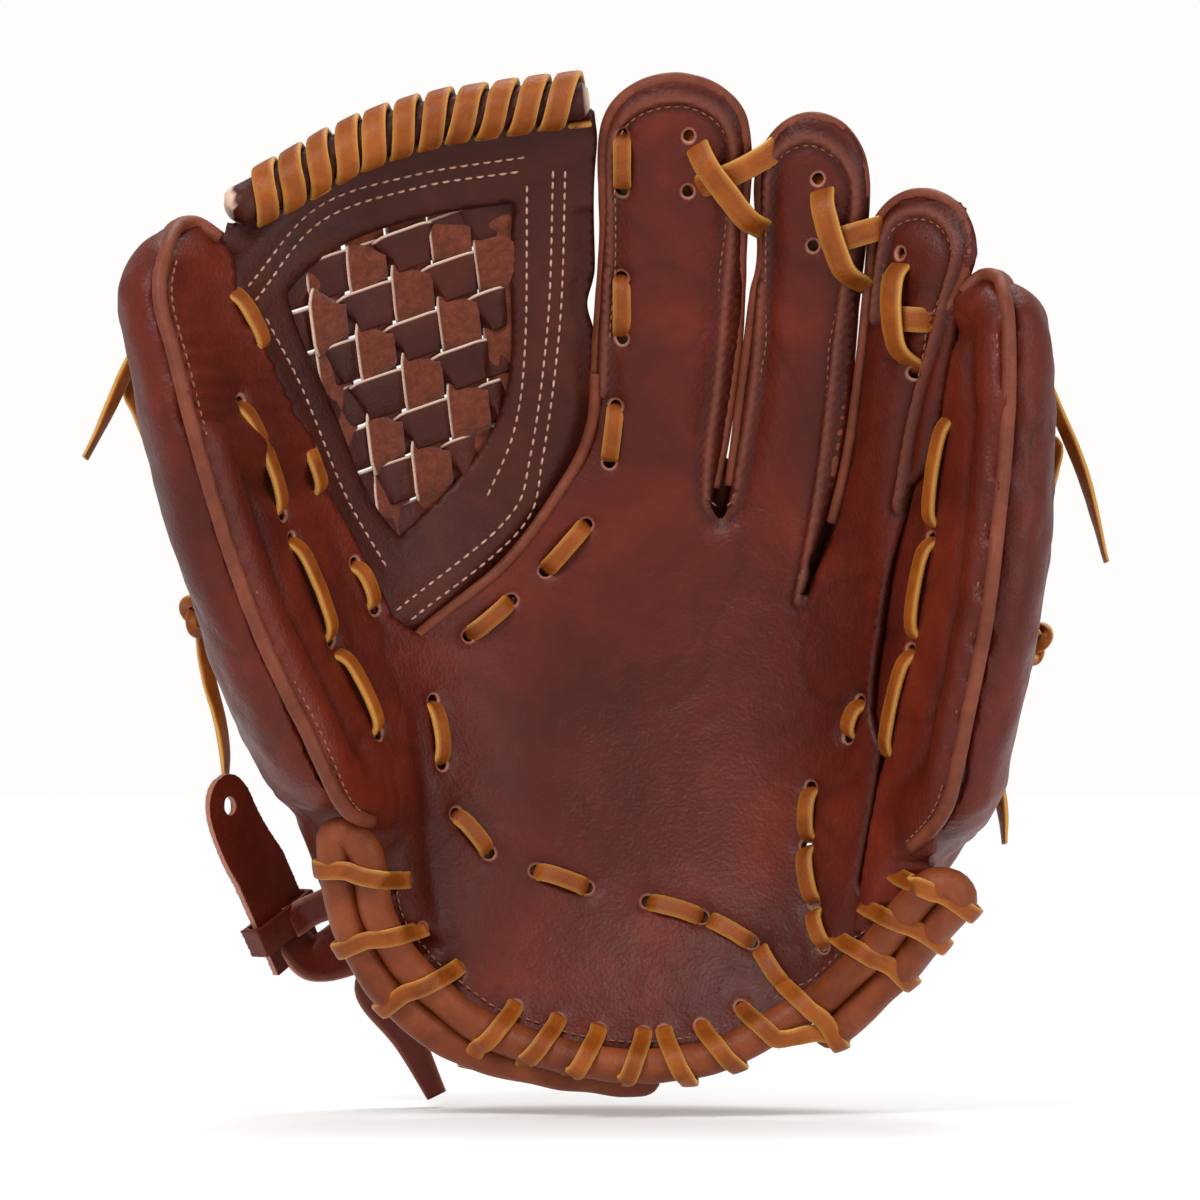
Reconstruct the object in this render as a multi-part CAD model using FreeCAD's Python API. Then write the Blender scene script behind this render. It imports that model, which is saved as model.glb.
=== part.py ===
"""Fielder's baseball glove for the left hand, closed basket-weave web, open wrist with a strap.

Frame: +Z runs from the heel to the fingertips, the pocket opens towards -Y, and +X runs from the thumb
to the little finger. The origin is the centre of the hand opening, level with the wrist strap. All sizes
are in mm. The panels are drawn from a datum under the heel, and main() moves them to the origin.

Every leather panel is built from one pocket surface. At a height z it is a U-shaped curve from the
thumb's front rim, down to the pocket floor and up to the little finger's front rim.
"""

import FreeCAD
import Part
import math
import os
from FreeCAD import Vector

OUT = "parts"
HAND_OPENING = Vector(8, 28, 60)  # the frame's origin, from the drawing datum

# ---- driving dimensions -------------------------------------------------------------------------
LEATHER = 2.4  # shell leather
LINING = 1.2  # inner leather
GLOVE_FELT = 4.0  # padding felt
PLY_GAP = 0.5  # clear space between two plies
WELT = 2.0  # leather strip sewn between two panels
WELT_PROUD = 1.1  # how far that strip stands out of the seam
LACE_WIDTH = 5.2
LACE_THICK = 1.7
LACE_CLEAR = 0.5  # from a lace to the leather under it
ROLL_RADIUS = 4.6  # rolled edge binding
WEB_ROLL_RADIUS = 5.8
WALL_POWER = 3.2  # shape of the U: higher is a flatter floor and steeper walls
POCKET_CENTRE_X = 5.0
STALL_SEAM = LEATHER + WELT + 2 * PLY_GAP + 0.6  # from the pocket face to the back panels
SECTION_POINTS = 9


def smooth(points):
    """A curve through (z, value) points, cubic between them and level or straight where the points are."""
    zs = [p[0] for p in points]
    vs = [p[1] for p in points]
    slopes = [(vs[i + 1] - vs[i]) / (zs[i + 1] - zs[i]) for i in range(len(zs) - 1)]
    tangents = [slopes[0]]
    for before, after in zip(slopes, slopes[1:]):
        same_way = before * after > 0
        tangents.append(2 * before * after / (before + after) if same_way else 0.0)
    tangents.append(slopes[-1])

    def value(z):
        if z <= zs[0]:
            return vs[0] + tangents[0] * (z - zs[0])
        if z >= zs[-1]:
            return vs[-1] + tangents[-1] * (z - zs[-1])
        i = max(k for k in range(len(zs) - 1) if zs[k] <= z)
        h = zs[i + 1] - zs[i]
        t = (z - zs[i]) / h
        near = (1 + 2 * t) * (1 - t) ** 2 * vs[i] + t * (1 - t) ** 2 * h * tangents[i]
        far = t * t * (3 - 2 * t) * vs[i + 1] + t * t * (t - 1) * h * tangents[i + 1]
        return near + far

    return value


def step(z, low, high):
    """0 below low, 1 above high, smooth between."""
    t = min(1.0, max(0.0, (z - low) / (high - low)))
    return t * t * (3 - 2 * t)


# ---- the pocket ---------------------------------------------------------------------------------
floor_y = smooth([(12, -20), (40, -4), (80, 6), (130, 10), (180, 8), (230, -4), (270, -18), (301, -34)])
thumb_rim_x = smooth([(20, -70), (60, -73), (96, -71), (130, -85), (160, -97), (200, -109), (238, -119)])
thumb_rim_y = smooth([(20, -26), (60, -42), (96, -54), (140, -66), (200, -72), (240, -68)])
little_rim_x = smooth([(20, 84), (50, 91), (76, 96), (106, 102), (160, 111), (218, 116), (238, 116)])
little_rim_y = smooth([(20, -26), (50, -40), (76, -50), (106, -60), (160, -66), (218, -64), (240, -58)])

# The heel's lower edge in front view, from the thumb side to the little finger's side.
HEEL_EDGE = [(-64.5, 87), (-62.5, 66), (-56, 48), (-45, 36.5), (-33, 28.5), (-19, 22.5), (3, 17),
             (26, 16.5), (44, 22), (58, 30), (72, 39.5), (79, 48), (85, 56), (92, 64.5), (99, 72)]

# The two folds that let the pocket close: where they meet the heel, and their lean per mm of height.
THUMB_FOLD = Vector(-37.5, -16.0, 25.0)
THUMB_FOLD_LEAN = -0.14
LITTLE_FOLD = Vector(72.0, -18.9, 45.0)
LITTLE_FOLD_LEAN = 0.165
FOLD_GAP = 1.6  # half the clear space between the panels on either side of a fold


def thumb_fold_x(z):
    return THUMB_FOLD.x + THUMB_FOLD_LEAN * (z - THUMB_FOLD.z)


def little_fold_x(z):
    return LITTLE_FOLD.x + LITTLE_FOLD_LEAN * (z - LITTLE_FOLD.z)


def pocket_y(x, z):
    """Front face of the pocket leather."""
    if x < POCKET_CENTRE_X:
        across = (POCKET_CENTRE_X - x) / (POCKET_CENTRE_X - thumb_rim_x(z))
        rim = thumb_rim_y(z)
    else:
        across = (x - POCKET_CENTRE_X) / (little_rim_x(z) - POCKET_CENTRE_X)
        rim = little_rim_y(z)
    floor = floor_y(z)
    return floor - (floor - rim) * min(across, 1.15) ** WALL_POWER


def pocket_normal(x, z):
    """Unit vector out of the back of the pocket leather."""
    reach = 0.4
    slope_x = (pocket_y(x + reach, z) - pocket_y(x - reach, z)) / (2 * reach)
    slope_z = (pocket_y(x, z + reach) - pocket_y(x, z - reach)) / (2 * reach)
    normal = Vector(-slope_x, 1, -slope_z)
    normal.normalize()
    return normal


def behind(x, z, depth):
    """A point at this depth behind the pocket face, at the same height."""
    normal = pocket_normal(x, z)
    level = Vector(normal.x, normal.y, 0)
    level.normalize()
    return Vector(x, pocket_y(x, z), z) + level * depth


# ---- solid builders -----------------------------------------------------------------------------
def curve(points):
    spline = Part.BSplineCurve()
    spline.interpolate(points)
    return spline.toShape()


def ply_wire(front, back):
    """Closed section of a ply: its front points, and its back points in the same order."""
    edges = [
        curve(front),
        Part.makeLine(front[-1], back[-1]),
        curve(back[::-1]),
        Part.makeLine(back[0], front[0]),
    ]
    return Part.Wire(edges)


def loft(wires):
    return Part.makeLoft(wires, True, False)


def slab(depth, thick, outline_wire):
    """The pocket surface at a depth, thickened along Y, and trimmed to an outline in front view."""
    low_x, high_x, low_z, high_z = -128.0, 124.0, 6.0, 308.0
    columns, rows = 40, 34
    grid = []
    for i in range(columns):
        x = low_x + (high_x - low_x) * i / (columns - 1)
        heights = [low_z + (high_z - low_z) * k / (rows - 1) for k in range(rows)]
        grid.append([Vector(x, pocket_y(x, z) + depth, z) for z in heights])
    surface = Part.BSplineSurface()
    surface.interpolate(grid)
    sheet = surface.toShape().extrude(Vector(0, thick, 0))
    far_in_front = -150.0
    outline_wire.translate(Vector(0, far_in_front, 0))
    prism = Part.Face(outline_wire).extrude(Vector(0, 300, 0))
    return sheet.common(prism)


def outline(segments):
    """A closed wire in the XZ plane from lists of (x, z) points, each list one smooth stretch."""
    edges = []
    for k, points in enumerate(segments):
        ahead = segments[(k + 1) % len(segments)][0]
        path = [Vector(x, 0, z) for x, z in points]
        if (path[-1] - Vector(ahead[0], 0, ahead[1])).Length > 1e-6:
            path.append(Vector(ahead[0], 0, ahead[1]))
        edges.append(Part.makeLine(*path) if len(path) == 2 else curve(path))
    return Part.Wire(edges)


def strip(points, normals, width, thick):
    """A flat lace or strap through the points, with its back face turned along the normals."""
    wires = []
    for k, (point, normal) in enumerate(zip(points, normals)):
        ahead = points[min(k + 1, len(points) - 1)] - points[max(k - 1, 0)]
        side = ahead.cross(normal)
        side.normalize()
        side = side * (width / 2)
        out = side.cross(ahead)
        out.normalize()
        out = out * (thick / 2)
        corners = [point - side - out, point + side - out, point + side + out, point - side + out]
        wires.append(Part.makePolygon(corners + corners[:1]))
    return loft(wires)


def surface_stitch(start, end, lift=LACE_CLEAR, width=LACE_WIDTH):
    """One visible run of lace lying on the pocket face, between two (x, z) holes."""
    points, normals = [], []
    for share in (0.0, 0.25, 0.5, 0.75, 1.0):
        x = start[0] + (end[0] - start[0]) * share
        z = start[1] + (end[1] - start[1]) * share
        normal = pocket_normal(x, z)
        points.append(Vector(x, pocket_y(x, z), z) - normal * (lift + LACE_THICK / 2))
        normals.append(normal)
    return strip(points, normals, width, LACE_THICK)


def rod(points, radius):
    """A round roll or cord along a smooth path."""
    path = Part.Wire([curve(points)])
    ahead = points[1] - points[0]
    ring = Part.Wire([Part.makeCircle(radius, points[0], ahead)])
    return path.makePipeShell([ring], True, False)


def coil(centre, along, open_towards, inner, width, sweep=240.0):
    """One turn of lace round a roll: a flat ring, left open on the side given."""
    along = Vector(along)
    along.normalize()
    start = Vector(open_towards)
    start = start - along * start.dot(along)
    start.normalize()
    turn = FreeCAD.Rotation(along, (360.0 - sweep) / 2)
    start = turn.multVec(start)
    near = centre + start * inner - along * (width / 2)
    far = near + start * LACE_THICK
    corners = [near, far, far + along * width, near + along * width, near]
    return Part.Face(Part.makePolygon(corners)).revolve(centre, along, sweep)


def group(solids):
    return Part.makeCompound(solids)


# ---- the fingers --------------------------------------------------------------------------------
class Finger:
    """Front-view edges of a finger stall, its tip, and how deep its back stands."""

    def __init__(self, left, right, crotch, shoulder, tip, depth):
        self.left = smooth(left)
        self.right = smooth(right)
        self.crotch = crotch
        self.shoulder = shoulder
        self.tip = tip
        self.depth = smooth(depth)

    def centre(self, z):
        return (self.left(z) + self.right(z)) / 2

    def half(self, z):
        width = (self.right(z) - self.left(z)) / 2
        if z <= self.shoulder:
            return width
        rise = min(1.0, (z - self.shoulder) / (self.tip - self.shoulder))
        return width * math.sqrt(max(0.0, 1 - rise * rise))

    def cap(self, z):
        return self.half(z) / ((self.right(z) - self.left(z)) / 2)

    def over_the_tip(self, grow=0.0, start=None):
        """Front-view points from low on the right edge, over the tip, to low on the left edge."""
        start = self.crotch if start is None else start
        centre = self.centre(self.shoulder)
        half = self.half(self.shoulder) + grow
        rise = self.tip - self.shoulder + grow
        heights = [start + (self.shoulder - start) * k / 4 for k in range(4)]
        up = [(self.right(z) + grow, z) for z in heights]
        turns = [math.pi * k / 8 for k in range(9)]
        over = [(centre + half * math.cos(a), self.shoulder + rise * math.sin(a)) for a in turns]
        down = [(self.left(z) - grow, z) for z in heights[::-1]]
        return up + over + down


INDEX = Finger([(120, -12), (165, 2), (281, 4)], [(120, 28), (177, 35), (209, 41), (240, 44), (281, 45)],
               177, 284, 301, [(118, 18), (170, 25), (240, 24), (284, 17)])
MIDDLE = Finger([(120, 30), (177, 40), (209, 46), (240, 48), (281, 49)], [(120, 55), (154, 61), (180, 69),
                (209, 74), (241, 77), (267, 79)], 177, 271, 290, [(118, 18), (170, 25), (240, 22), (271, 16)])
RING = Finger([(120, 58), (156, 64), (180, 72), (209, 77), (241, 80), (262, 82)], [(120, 77), (156, 85),
              (180, 90), (209, 96.5), (235, 103), (252, 109)], 156, 252, 268, [(118, 16), (170, 22), (235, 18)])
FINGERS = {"index": INDEX, "middle": MIDDLE, "ring": RING}
KNUCKLE_Z = 118.0  # where the finger backs end, above the open wrist
HAND_BACK_Y = 33.0  # seam line of the finger backs over the hand


def seam_y(x, z):
    """Where a finger's back panel starts: at the finger's seam, and further back over the open hand."""
    return HAND_BACK_Y + (pocket_y(x, z) + STALL_SEAM - HAND_BACK_Y) * step(z, 112, 198)


def back_arc(finger, z, inset, flat=0.0):
    """Points across a finger's back at a height, inset from its outer face, from left to right."""
    half = finger.half(z) - inset
    depth = finger.depth(min(z, finger.shoulder)) * (0.35 + 0.65 * finger.cap(z)) - inset
    points = []
    for k in range(SECTION_POINTS):
        angle = math.pi * k / (SECTION_POINTS - 1)
        x = finger.centre(z) - half * math.cos(angle)
        y = seam_y(x, z) + flat + max(depth, 1.0) * math.sin(angle) ** 0.8
        points.append(Vector(x, y, z))
    return points


def tip_heights(low, shoulder, tip, share=0.97):
    """Section heights: even up to the shoulder, then closer and closer to the tip."""
    straight = [low + (shoulder - low) * k / 13 for k in range(14)]
    rounding = [shoulder + (tip - shoulder) * math.sin(math.pi / 2 * k / 4) * share for k in range(1, 5)]
    return straight + rounding


def finger_back(finger):
    wires = []
    for z in tip_heights(KNUCKLE_Z, finger.shoulder, finger.tip):
        thick = min(LEATHER, finger.half(z) * 0.6)
        wires.append(ply_wire(back_arc(finger, z, 0.3), back_arc(finger, z, 0.3 + thick)))
    return loft(wires)


def finger_sleeve(finger):
    """Soft inner sleeve that the finger goes into, closed at the tip and open at the knuckle."""
    space = LEATHER + 2.6
    low = finger.crotch + 8

    def skin(inset, bottom, top):
        wires = []
        for z in [bottom + (top - bottom) * k / 5 for k in range(6)]:
            over = back_arc(finger, z, inset, flat=1.0)
            front = [Vector(p.x, seam_y(p.x, z) + 0.6 + inset - space, z) for p in over[1:-1]]
            wires.append(Part.Wire([curve(over), Part.makeLine(over[-1], front[-1]),
                                    curve(front[::-1]), Part.makeLine(front[0], over[0])]))
        return loft(wires)

    outer = skin(space, low, finger.shoulder - 2)
    return outer.cut(skin(space + LINING, low - 5, finger.shoulder - 2 - LINING))


def finger_welt(finger):
    """Leather strip sewn into the finger's seam, up one edge, over the tip and down the other."""
    start = finger.crotch + 4
    outside = finger.over_the_tip(WELT_PROUD, start)
    inside = finger.over_the_tip(-5.0, start)[::-1]
    band = outline([outside, [outside[-1], inside[0]], inside, [inside[-1], outside[0]]])
    return slab(LEATHER + PLY_GAP, WELT, band)


# ---- palm panels --------------------------------------------------------------------------------
WEB_LOWER_EDGE = [(1.5, 209), (-1.5, 195), (-9, 182), (-26, 160), (-42, 147)]
CROTCH_Z = 138.0  # where the web, the thumb and the palm meet


def palm_outline():
    """Palm leather with the index, middle and ring fronts, between the two folds."""
    inset = ROLL_RADIUS + 3.0
    low = [p for p in HEEL_EDGE if thumb_fold_x(40) + 6 < p[0] < little_fold_x(45) - 8]
    heel = [(thumb_fold_x(39) + FOLD_GAP, 39.0)] + [(x, z + inset) for x, z in low]
    heel.append((little_fold_x(49) - FOLD_GAP, 49.0))
    ring = RING.over_the_tip(start=RING.crotch)
    clear = [(min(x, little_fold_x(z) - FOLD_GAP) if z < 232 else x, z) for x, z in ring]
    middle = MIDDLE.over_the_tip(start=155)[:-3]
    slit_z = 178
    crotch = (thumb_fold_x(CROTCH_Z) + FOLD_GAP, CROTCH_Z)
    return outline([
        heel,
        [heel[-1], clear[0]],
        clear,
        [clear[-1], (62.6, 152), middle[0]],
        middle,
        [middle[-1], (MIDDLE.left(slit_z), slit_z)],
        [(MIDDLE.left(slit_z), slit_z), (38, 174.5), (INDEX.right(slit_z), slit_z)],
        INDEX.over_the_tip(start=slit_z)[:13] + [(4, 260), (2.4, 230), (1.5, 209)],
        WEB_LOWER_EDGE + [crotch],
        [crotch, heel[0]],
    ])


def pad_outline(shrink):
    """Area of the palm padding, and of the lining behind it."""
    points = [(-34, 48), (0, 30), (40, 36), (58, 62), (68, 110), (66, 140), (34, 160), (-6, 160), (-40, 132)]
    middle = Vector(15, 0, 95)
    path = [middle + (Vector(x, 0, z) - middle) * shrink for x, z in points]
    spline = Part.BSplineCurve()
    spline.interpolate(path, True)
    return Part.Wire([spline.toShape()])


# ---- thumb and little finger walls --------------------------------------------------------------
class Stall:
    """The tall stall on either side of the pocket: an inner wall on the pocket surface, an outer back."""

    def __init__(self, side, rim_x, inner_x, back_x, back_y, bulge, base, shoulder, tip, tip_centre):
        self.side = side  # -1 for the thumb, +1 for the little finger
        self.rim_x = rim_x
        self.inner_x = inner_x
        self.back_x = smooth(back_x)
        self.back_y = smooth(back_y)
        self.bulge = smooth(bulge)
        self.base = base
        self.shoulder = shoulder
        self.tip = tip
        self.tip_centre = tip_centre

    def close(self, points, z):
        """Draws a section in towards the tip above the shoulder."""
        points = [Vector(p.x, p.y, z) for p in points]
        if z <= self.shoulder:
            return points
        rise = (z - self.shoulder) / (self.tip - self.shoulder)
        scale = math.sqrt(max(0.0, 1 - rise * rise))
        centre = Vector(self.tip_centre[0], self.tip_centre[1], z)
        return [centre + (p - centre) * scale for p in points]

    def section_z(self, z):
        return min(z, self.shoulder)

    def wall(self, z, depth, from_rim=0.0, to_inner=0.0):
        """Points on the inner wall at a depth, from the rim to the inner boundary."""
        level = self.section_z(z)
        start = self.rim_x(level) - self.side * from_rim
        end = self.inner_x(level) + self.side * to_inner
        shares = [(k / (SECTION_POINTS - 1)) ** 1.5 for k in range(SECTION_POINTS)]
        points = [behind(start + (end - start) * s, level, depth) for s in shares]
        return self.close(points, z)

    def back(self, z, inset):
        """Points round the outer back, from the rim seam to the rear edge."""
        level = self.section_z(z)
        front = behind(self.rim_x(level), level, STALL_SEAM)
        rear = Vector(self.back_x(level), self.back_y(level), level)
        middle, chord = (front + rear) / 2, rear - front
        out = Vector(chord.y, -chord.x, 0) * self.side
        out.normalize()
        points = []
        for k in range(SECTION_POINTS):
            angle = math.pi * k / (SECTION_POINTS - 1)
            reach = chord * (-0.5 * math.cos(angle) * (1 - 2 * inset / chord.Length))
            points.append(middle + reach + out * ((self.bulge(level) - inset) * math.sin(angle) ** 0.85))
        return self.close(points, z)

    def heights(self, base=None):
        return tip_heights(self.base if base is None else base, self.shoulder, self.tip, 0.96)


def thumb_wall_inner_x(z):
    """Inner boundary of the thumb's pocket panel: the fold, then the web's laced edge."""
    edge = smooth([(25, thumb_fold_x(25)), (CROTCH_Z, thumb_fold_x(CROTCH_Z)), (193, -78), (225, -92),
                   (238, -99)])
    return edge(z) - FOLD_GAP


def little_wall_inner_x(z):
    return little_fold_x(z) + FOLD_GAP


def thumb_panel_rim_x(z):
    """The thumb's rim, which runs into the heel's curved edge below the stall."""
    heel = smooth([(36, -37), (40, -39), (50, -46.5), (62, -52.5), (76, -55.5), (88, -59), (99, -70)])
    return heel(z) if z < 99 else thumb_rim_x(z)


def little_panel_rim_x(z):
    heel = smooth([(50, 73.5), (57, 76.8), (66, 81.5), (76, 86.5), (90, 98.4)])
    return heel(z) if z < 90 else little_rim_x(z)


THUMB = Stall(
    -1, thumb_panel_rim_x, thumb_wall_inner_x,
    [(40, -60), (60, -66), (96, -68), (140, -68), (200, -82), (240, -100)],
    [(40, 20), (60, 28), (96, 33), (140, 28), (200, 12), (240, -8)],
    [(40, 6), (60, 12), (96, 20), (140, 26), (200, 26), (240, 19)],
    40, 236, 258.5, (-113, -38))
LITTLE = Stall(
    1, little_panel_rim_x, little_wall_inner_x,
    [(52, 76), (76, 88), (106, 92), (160, 99), (200, 103), (238, 107)],
    [(52, 24), (76, 28), (106, 24), (160, 8), (200, -4), (238, -18)],
    [(52, 8), (76, 15), (106, 18), (160, 21), (200, 19), (238, 13)],
    50, 226, 243, (114, -42))


def stall_front(stall, base):
    wires = []
    for z in stall.heights(base):
        wires.append(ply_wire(stall.wall(z, 0), stall.wall(z, LEATHER)))
    return loft(wires)


def stall_back(stall, base):
    wires = []
    for z in stall.heights(base):
        wires.append(ply_wire(stall.back(z, 0.2), stall.back(z, 0.2 + LEATHER)))
    return loft(wires)


def stall_welt(stall, base):
    """Seam strip along the rim, standing a little proud of it."""
    low = LEATHER + PLY_GAP + 0.3
    wires = []
    for z in stall.heights(base):
        level = stall.section_z(z)
        rim = stall.rim_x(level)
        front, rear = [], []
        for reach in (0.0, 1.2, 2.4):
            x = rim - stall.side * reach
            front.append(behind(x, level, low))
            rear.append(behind(x, level, low + WELT))
        for side in (front, rear):
            forward = side[0] - side[1]
            forward.normalize()
            side.insert(0, side[0] + forward * WELT_PROUD)
        wires.append(ply_wire(stall.close(front, z), stall.close(rear, z)))
    return loft(wires)


def stall_stiffener(stall, base, top):
    """Firm felt that keeps the wall upright, between the pocket leather and the sleeve."""
    low = STALL_SEAM + 1.0
    wires = []
    for z in [base + (top - base) * k / 9 for k in range(10)]:
        wires.append(ply_wire(stall.wall(z, low, 8.0, 7.0), stall.wall(z, low + 3.0, 8.0, 7.0)))
    return loft(wires)


def stall_sleeve(stall, base, top):
    """Inner sleeve, lying against the outer back."""
    wires = []
    for z in [base + (top - base) * k / 9 for k in range(10)]:
        inset = LEATHER + 1.6
        outer = stall.back(z, inset)[1:-1]
        inner = stall.back(z, inset + LINING)[1:-1]
        wires.append(ply_wire(outer, inner))
    return loft(wires)


def finger_loop(centre, width, tall):
    """Leather loop inside the wrist that the thumb or the little finger passes through."""
    outer = Part.Ellipse(centre, width / 2 + LINING, width / 3 + LINING).toShape()
    inner = Part.Ellipse(centre, width / 2, width / 3).toShape()
    solid = Part.Face(Part.Wire([outer])).extrude(Vector(0, 0, tall))
    return solid.cut(Part.Face(Part.Wire([inner])).extrude(Vector(0, 0, tall)))


def heel_pad(x_low, x_high, z_low, z_high):
    """Thick firm pad behind the heel leather, beside a fold."""
    depth = LEATHER + 1.6
    wires = []
    for z in [z_low + (z_high - z_low) * k / 6 for k in range(7)]:
        xs = [x_low(z) + (x_high(z) - x_low(z)) * k / 6 for k in range(7)]
        wires.append(ply_wire([behind(x, z, depth) for x in xs], [behind(x, z, depth + 7.0) for x in xs]))
    return loft(wires)


# ---- web ----------------------------------------------------------------------------------------
WEB_DEPTH = LEATHER + 1.4
WEB_PLY = 1.9
WEB_TOP = [(-99, 262), (-78, 277), (-50, 288), (-22, 293.5), (-3, 295)]
WEB_LEFT = [(-50, 145), (-64, 165), (-78, 200), (-90, 227), (-98, 250)]
WEB_RIGHT = [(-3, 288), (-5, 250), (-6, 212), (-12, 192), (-30, 166), (-50, 145)]


def web_outline(shrink=1.0):
    centre = (-57.0, 217.0)

    def near(points):
        return [(centre[0] + (x - centre[0]) * shrink, centre[1] + (z - centre[1]) * shrink) for x, z in points]

    top = [(x, z - WEB_ROLL_RADIUS - 2.0) for x, z in WEB_TOP]
    return outline([near([WEB_LEFT[-1]] + top[1:-1] + [WEB_RIGHT[0]]), near(WEB_RIGHT), near(WEB_LEFT)])


def web_frame(depth):
    """One ply of the web's border, round the woven window."""
    ring = slab(depth, WEB_PLY, web_outline(1.0))
    return ring.cut(slab(depth - 1, WEB_PLY + 2, web_outline(0.66)))


def weave(depth, vertical):
    """Woven straps inside the window: a set that runs up, or a set that runs across."""
    window = slab(depth, WEB_PLY, web_outline(0.655))
    straps = []
    pitch, width = 12.4, 11.2
    for k in range(-4, 8):
        if vertical:
            bar = Part.makeBox(width, 300, 300, Vector(-92 + pitch * (k + 4), -150, 60))
            lean = -6.0
        else:
            bar = Part.makeBox(300, 300, width, Vector(-190, -150, 222 + pitch * (k - 2)))
            lean = -20.0
        bar.rotate(Vector(-48, 0, 222), Vector(0, 1, 0), lean)
        cut = window.common(bar)
        straps += [s for s in cut.Solids if s.Volume > 40]
    return group(straps)


def web_roll_path():
    return [Vector(x, pocket_y(x, z - 6) + 1.5, z) for x, z in WEB_TOP]


def web_top_lace():
    """Lace wound round the web's top roll."""
    path = curve(web_roll_path())
    low, high = path.ParameterRange
    turns = []
    count = 11
    for k in range(count):
        at = low + (high - low) * (0.09 + 0.85 * k / (count - 1))
        along = path.tangentAt(at)
        lean = FreeCAD.Rotation(Vector(0, 1, 0), 12)
        turns.append(coil(path.valueAt(at), lean.multVec(along), Vector(0, 0, -1), WEB_ROLL_RADIUS + 0.8,
                          6.0, 270))
    return group(turns)


# ---- lacing -------------------------------------------------------------------------------------
# Each visible run of lace, from hole to hole, as x and z in front view.
INDEX_WEB_STITCHES = [((9.3, 284), (9.3, 270)), ((9.3, 244), (9.3, 228)), ((7.5, 207), (5.8, 192)),
                      ((-1.5, 172.5), (-12.5, 160)), ((-23.5, 150.5), (-35, 141))]
THUMB_WEB_STITCHES = [((-102, 239), (-93.5, 223)), ((-86, 202), (-77.5, 182)), ((-68, 161), (-63, 149))]
THUMB_WALL_STITCHES = [((-99.5, 207), (-88, 176)), ((-85, 168), (-74, 140)), ((-72, 136), (-61, 113))]
PALM_STITCHES = [((-46, 121), (-43.5, 104)), ((-39, 88.5), (-30, 78)), ((-15, 72), (-1.5, 67.5)),
                 ((17.5, 63), (32, 59)), ((35, 58), (46.5, 52)), ((49.5, 50), (56, 40))]
LITTLE_SIDE_STITCHES = [((64.5, 96), (63.5, 82)), ((63, 79), (65, 64)), ((65.5, 61), (68, 51.5)),
                        ((78.5, 121), (75.5, 112))]
LITTLE_WALL_STITCHES = [((102.5, 203), (98, 172)), ((97.5, 168), (93, 140)), ((92, 136), (85.5, 106))]
# From each finger to the next: the lace below, then the one that crosses over it.
FINGERTIP_CROSSES = [(((29, 270), (54, 281)), ((29, 286), (51, 258))),
                     (((66, 254), (84, 258)), ((67, 273), (80, 241))),
                     (((88, 232), (98, 231)), ((92, 250), (95.5, 217)))]


def stitch_row(ends):
    return group([surface_stitch(start, end) for start, end in ends])


def fingertip_lace():
    """Crossed lacing from each finger to the next, near the tips."""
    over = LACE_CLEAR + LACE_THICK + 0.5
    pieces = []
    for below, above in FINGERTIP_CROSSES:
        pieces.append(surface_stitch(below[0], below[1]))
        pieces.append(surface_stitch(above[0], above[1], over))
    return group(pieces)


def heel_path(points):
    return [Vector(x, pocket_y(x, z) + LEATHER / 2, z) for x, z in points]


def rear_roll_path(points):
    """The second roll: outside the first at the sides, and behind it where the heel is lowest."""
    path = []
    for k, (x, z) in enumerate(points):
        before, after = points[max(k - 1, 0)], points[min(k + 1, len(points) - 1)]
        along = Vector(after[0] - before[0], 0, after[1] - before[1])
        along.normalize()
        out = Vector(along.z, 0, -along.x)
        sideways = min(1.0, abs(x - 12.0) / 60.0) ** 1.5
        lift = out * (5.0 + 8.0 * sideways)
        path.append(Vector(x, pocket_y(x, z) + 14.0 - 9.5 * sideways, z) + lift)
    return path


def heel_coils(points, count):
    """Turns of lace over the heel's roll, open towards the glove."""
    path = curve(heel_path(points))
    low, high = path.ParameterRange
    coils = []
    for k in range(count):
        at = low + (high - low) * (k + 0.5) / count
        along = path.tangentAt(at)
        up = Vector(-along.z, 0, along.x)
        up = up if up.z > 0 else up * -1
        coils.append(coil(path.valueAt(at), along, up, ROLL_RADIUS + 0.5, LACE_WIDTH, 200))
    return group(coils)


def lace_tail(points):
    """A free end of lace hanging outside the glove."""
    normals = [Vector(0, 1, 0.05)] * len(points)
    return strip(points, normals, LACE_WIDTH * 0.8, LACE_THICK)


def knot(centre):
    """A tight overhand knot: a crossed pair of short wraps, as one lump."""
    lump = Part.makeSphere(5.2, centre)
    wrap = Part.makeTorus(4.6, 2.6, centre, Vector(1, 0.2, 0.6))
    return lump.fuse(wrap).removeSplitter()


# ---- wrist strap --------------------------------------------------------------------------------
STRAP_LOW, STRAP_HIGH = 46.0, 76.0
STRAP_HALF = 64.0
STRAP_CENTRE_X = 10.0
STRAP_DEPTH_Y = 58.0
TONGUE_AT = Vector(-90, 26, 56)
TONGUE_ALONG = Vector(-0.36, -0.34, 0.87)
TONGUE_OUT = Vector(-0.69, 0.73, 0.0)
TONGUE_HOLE_R = 2.6
TONGUE_LENGTH, TONGUE_WIDTH, TONGUE_THICK = 62.0, 20.0, 2.6


def strap_arc(inset):
    points = []
    for k in range(SECTION_POINTS):
        share = -1 + 2 * k / (SECTION_POINTS - 1)
        x = STRAP_CENTRE_X + (STRAP_HALF - inset * 0.4) * share
        points.append((x, STRAP_DEPTH_Y - inset - 19.0 * share * share))
    return points


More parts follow.
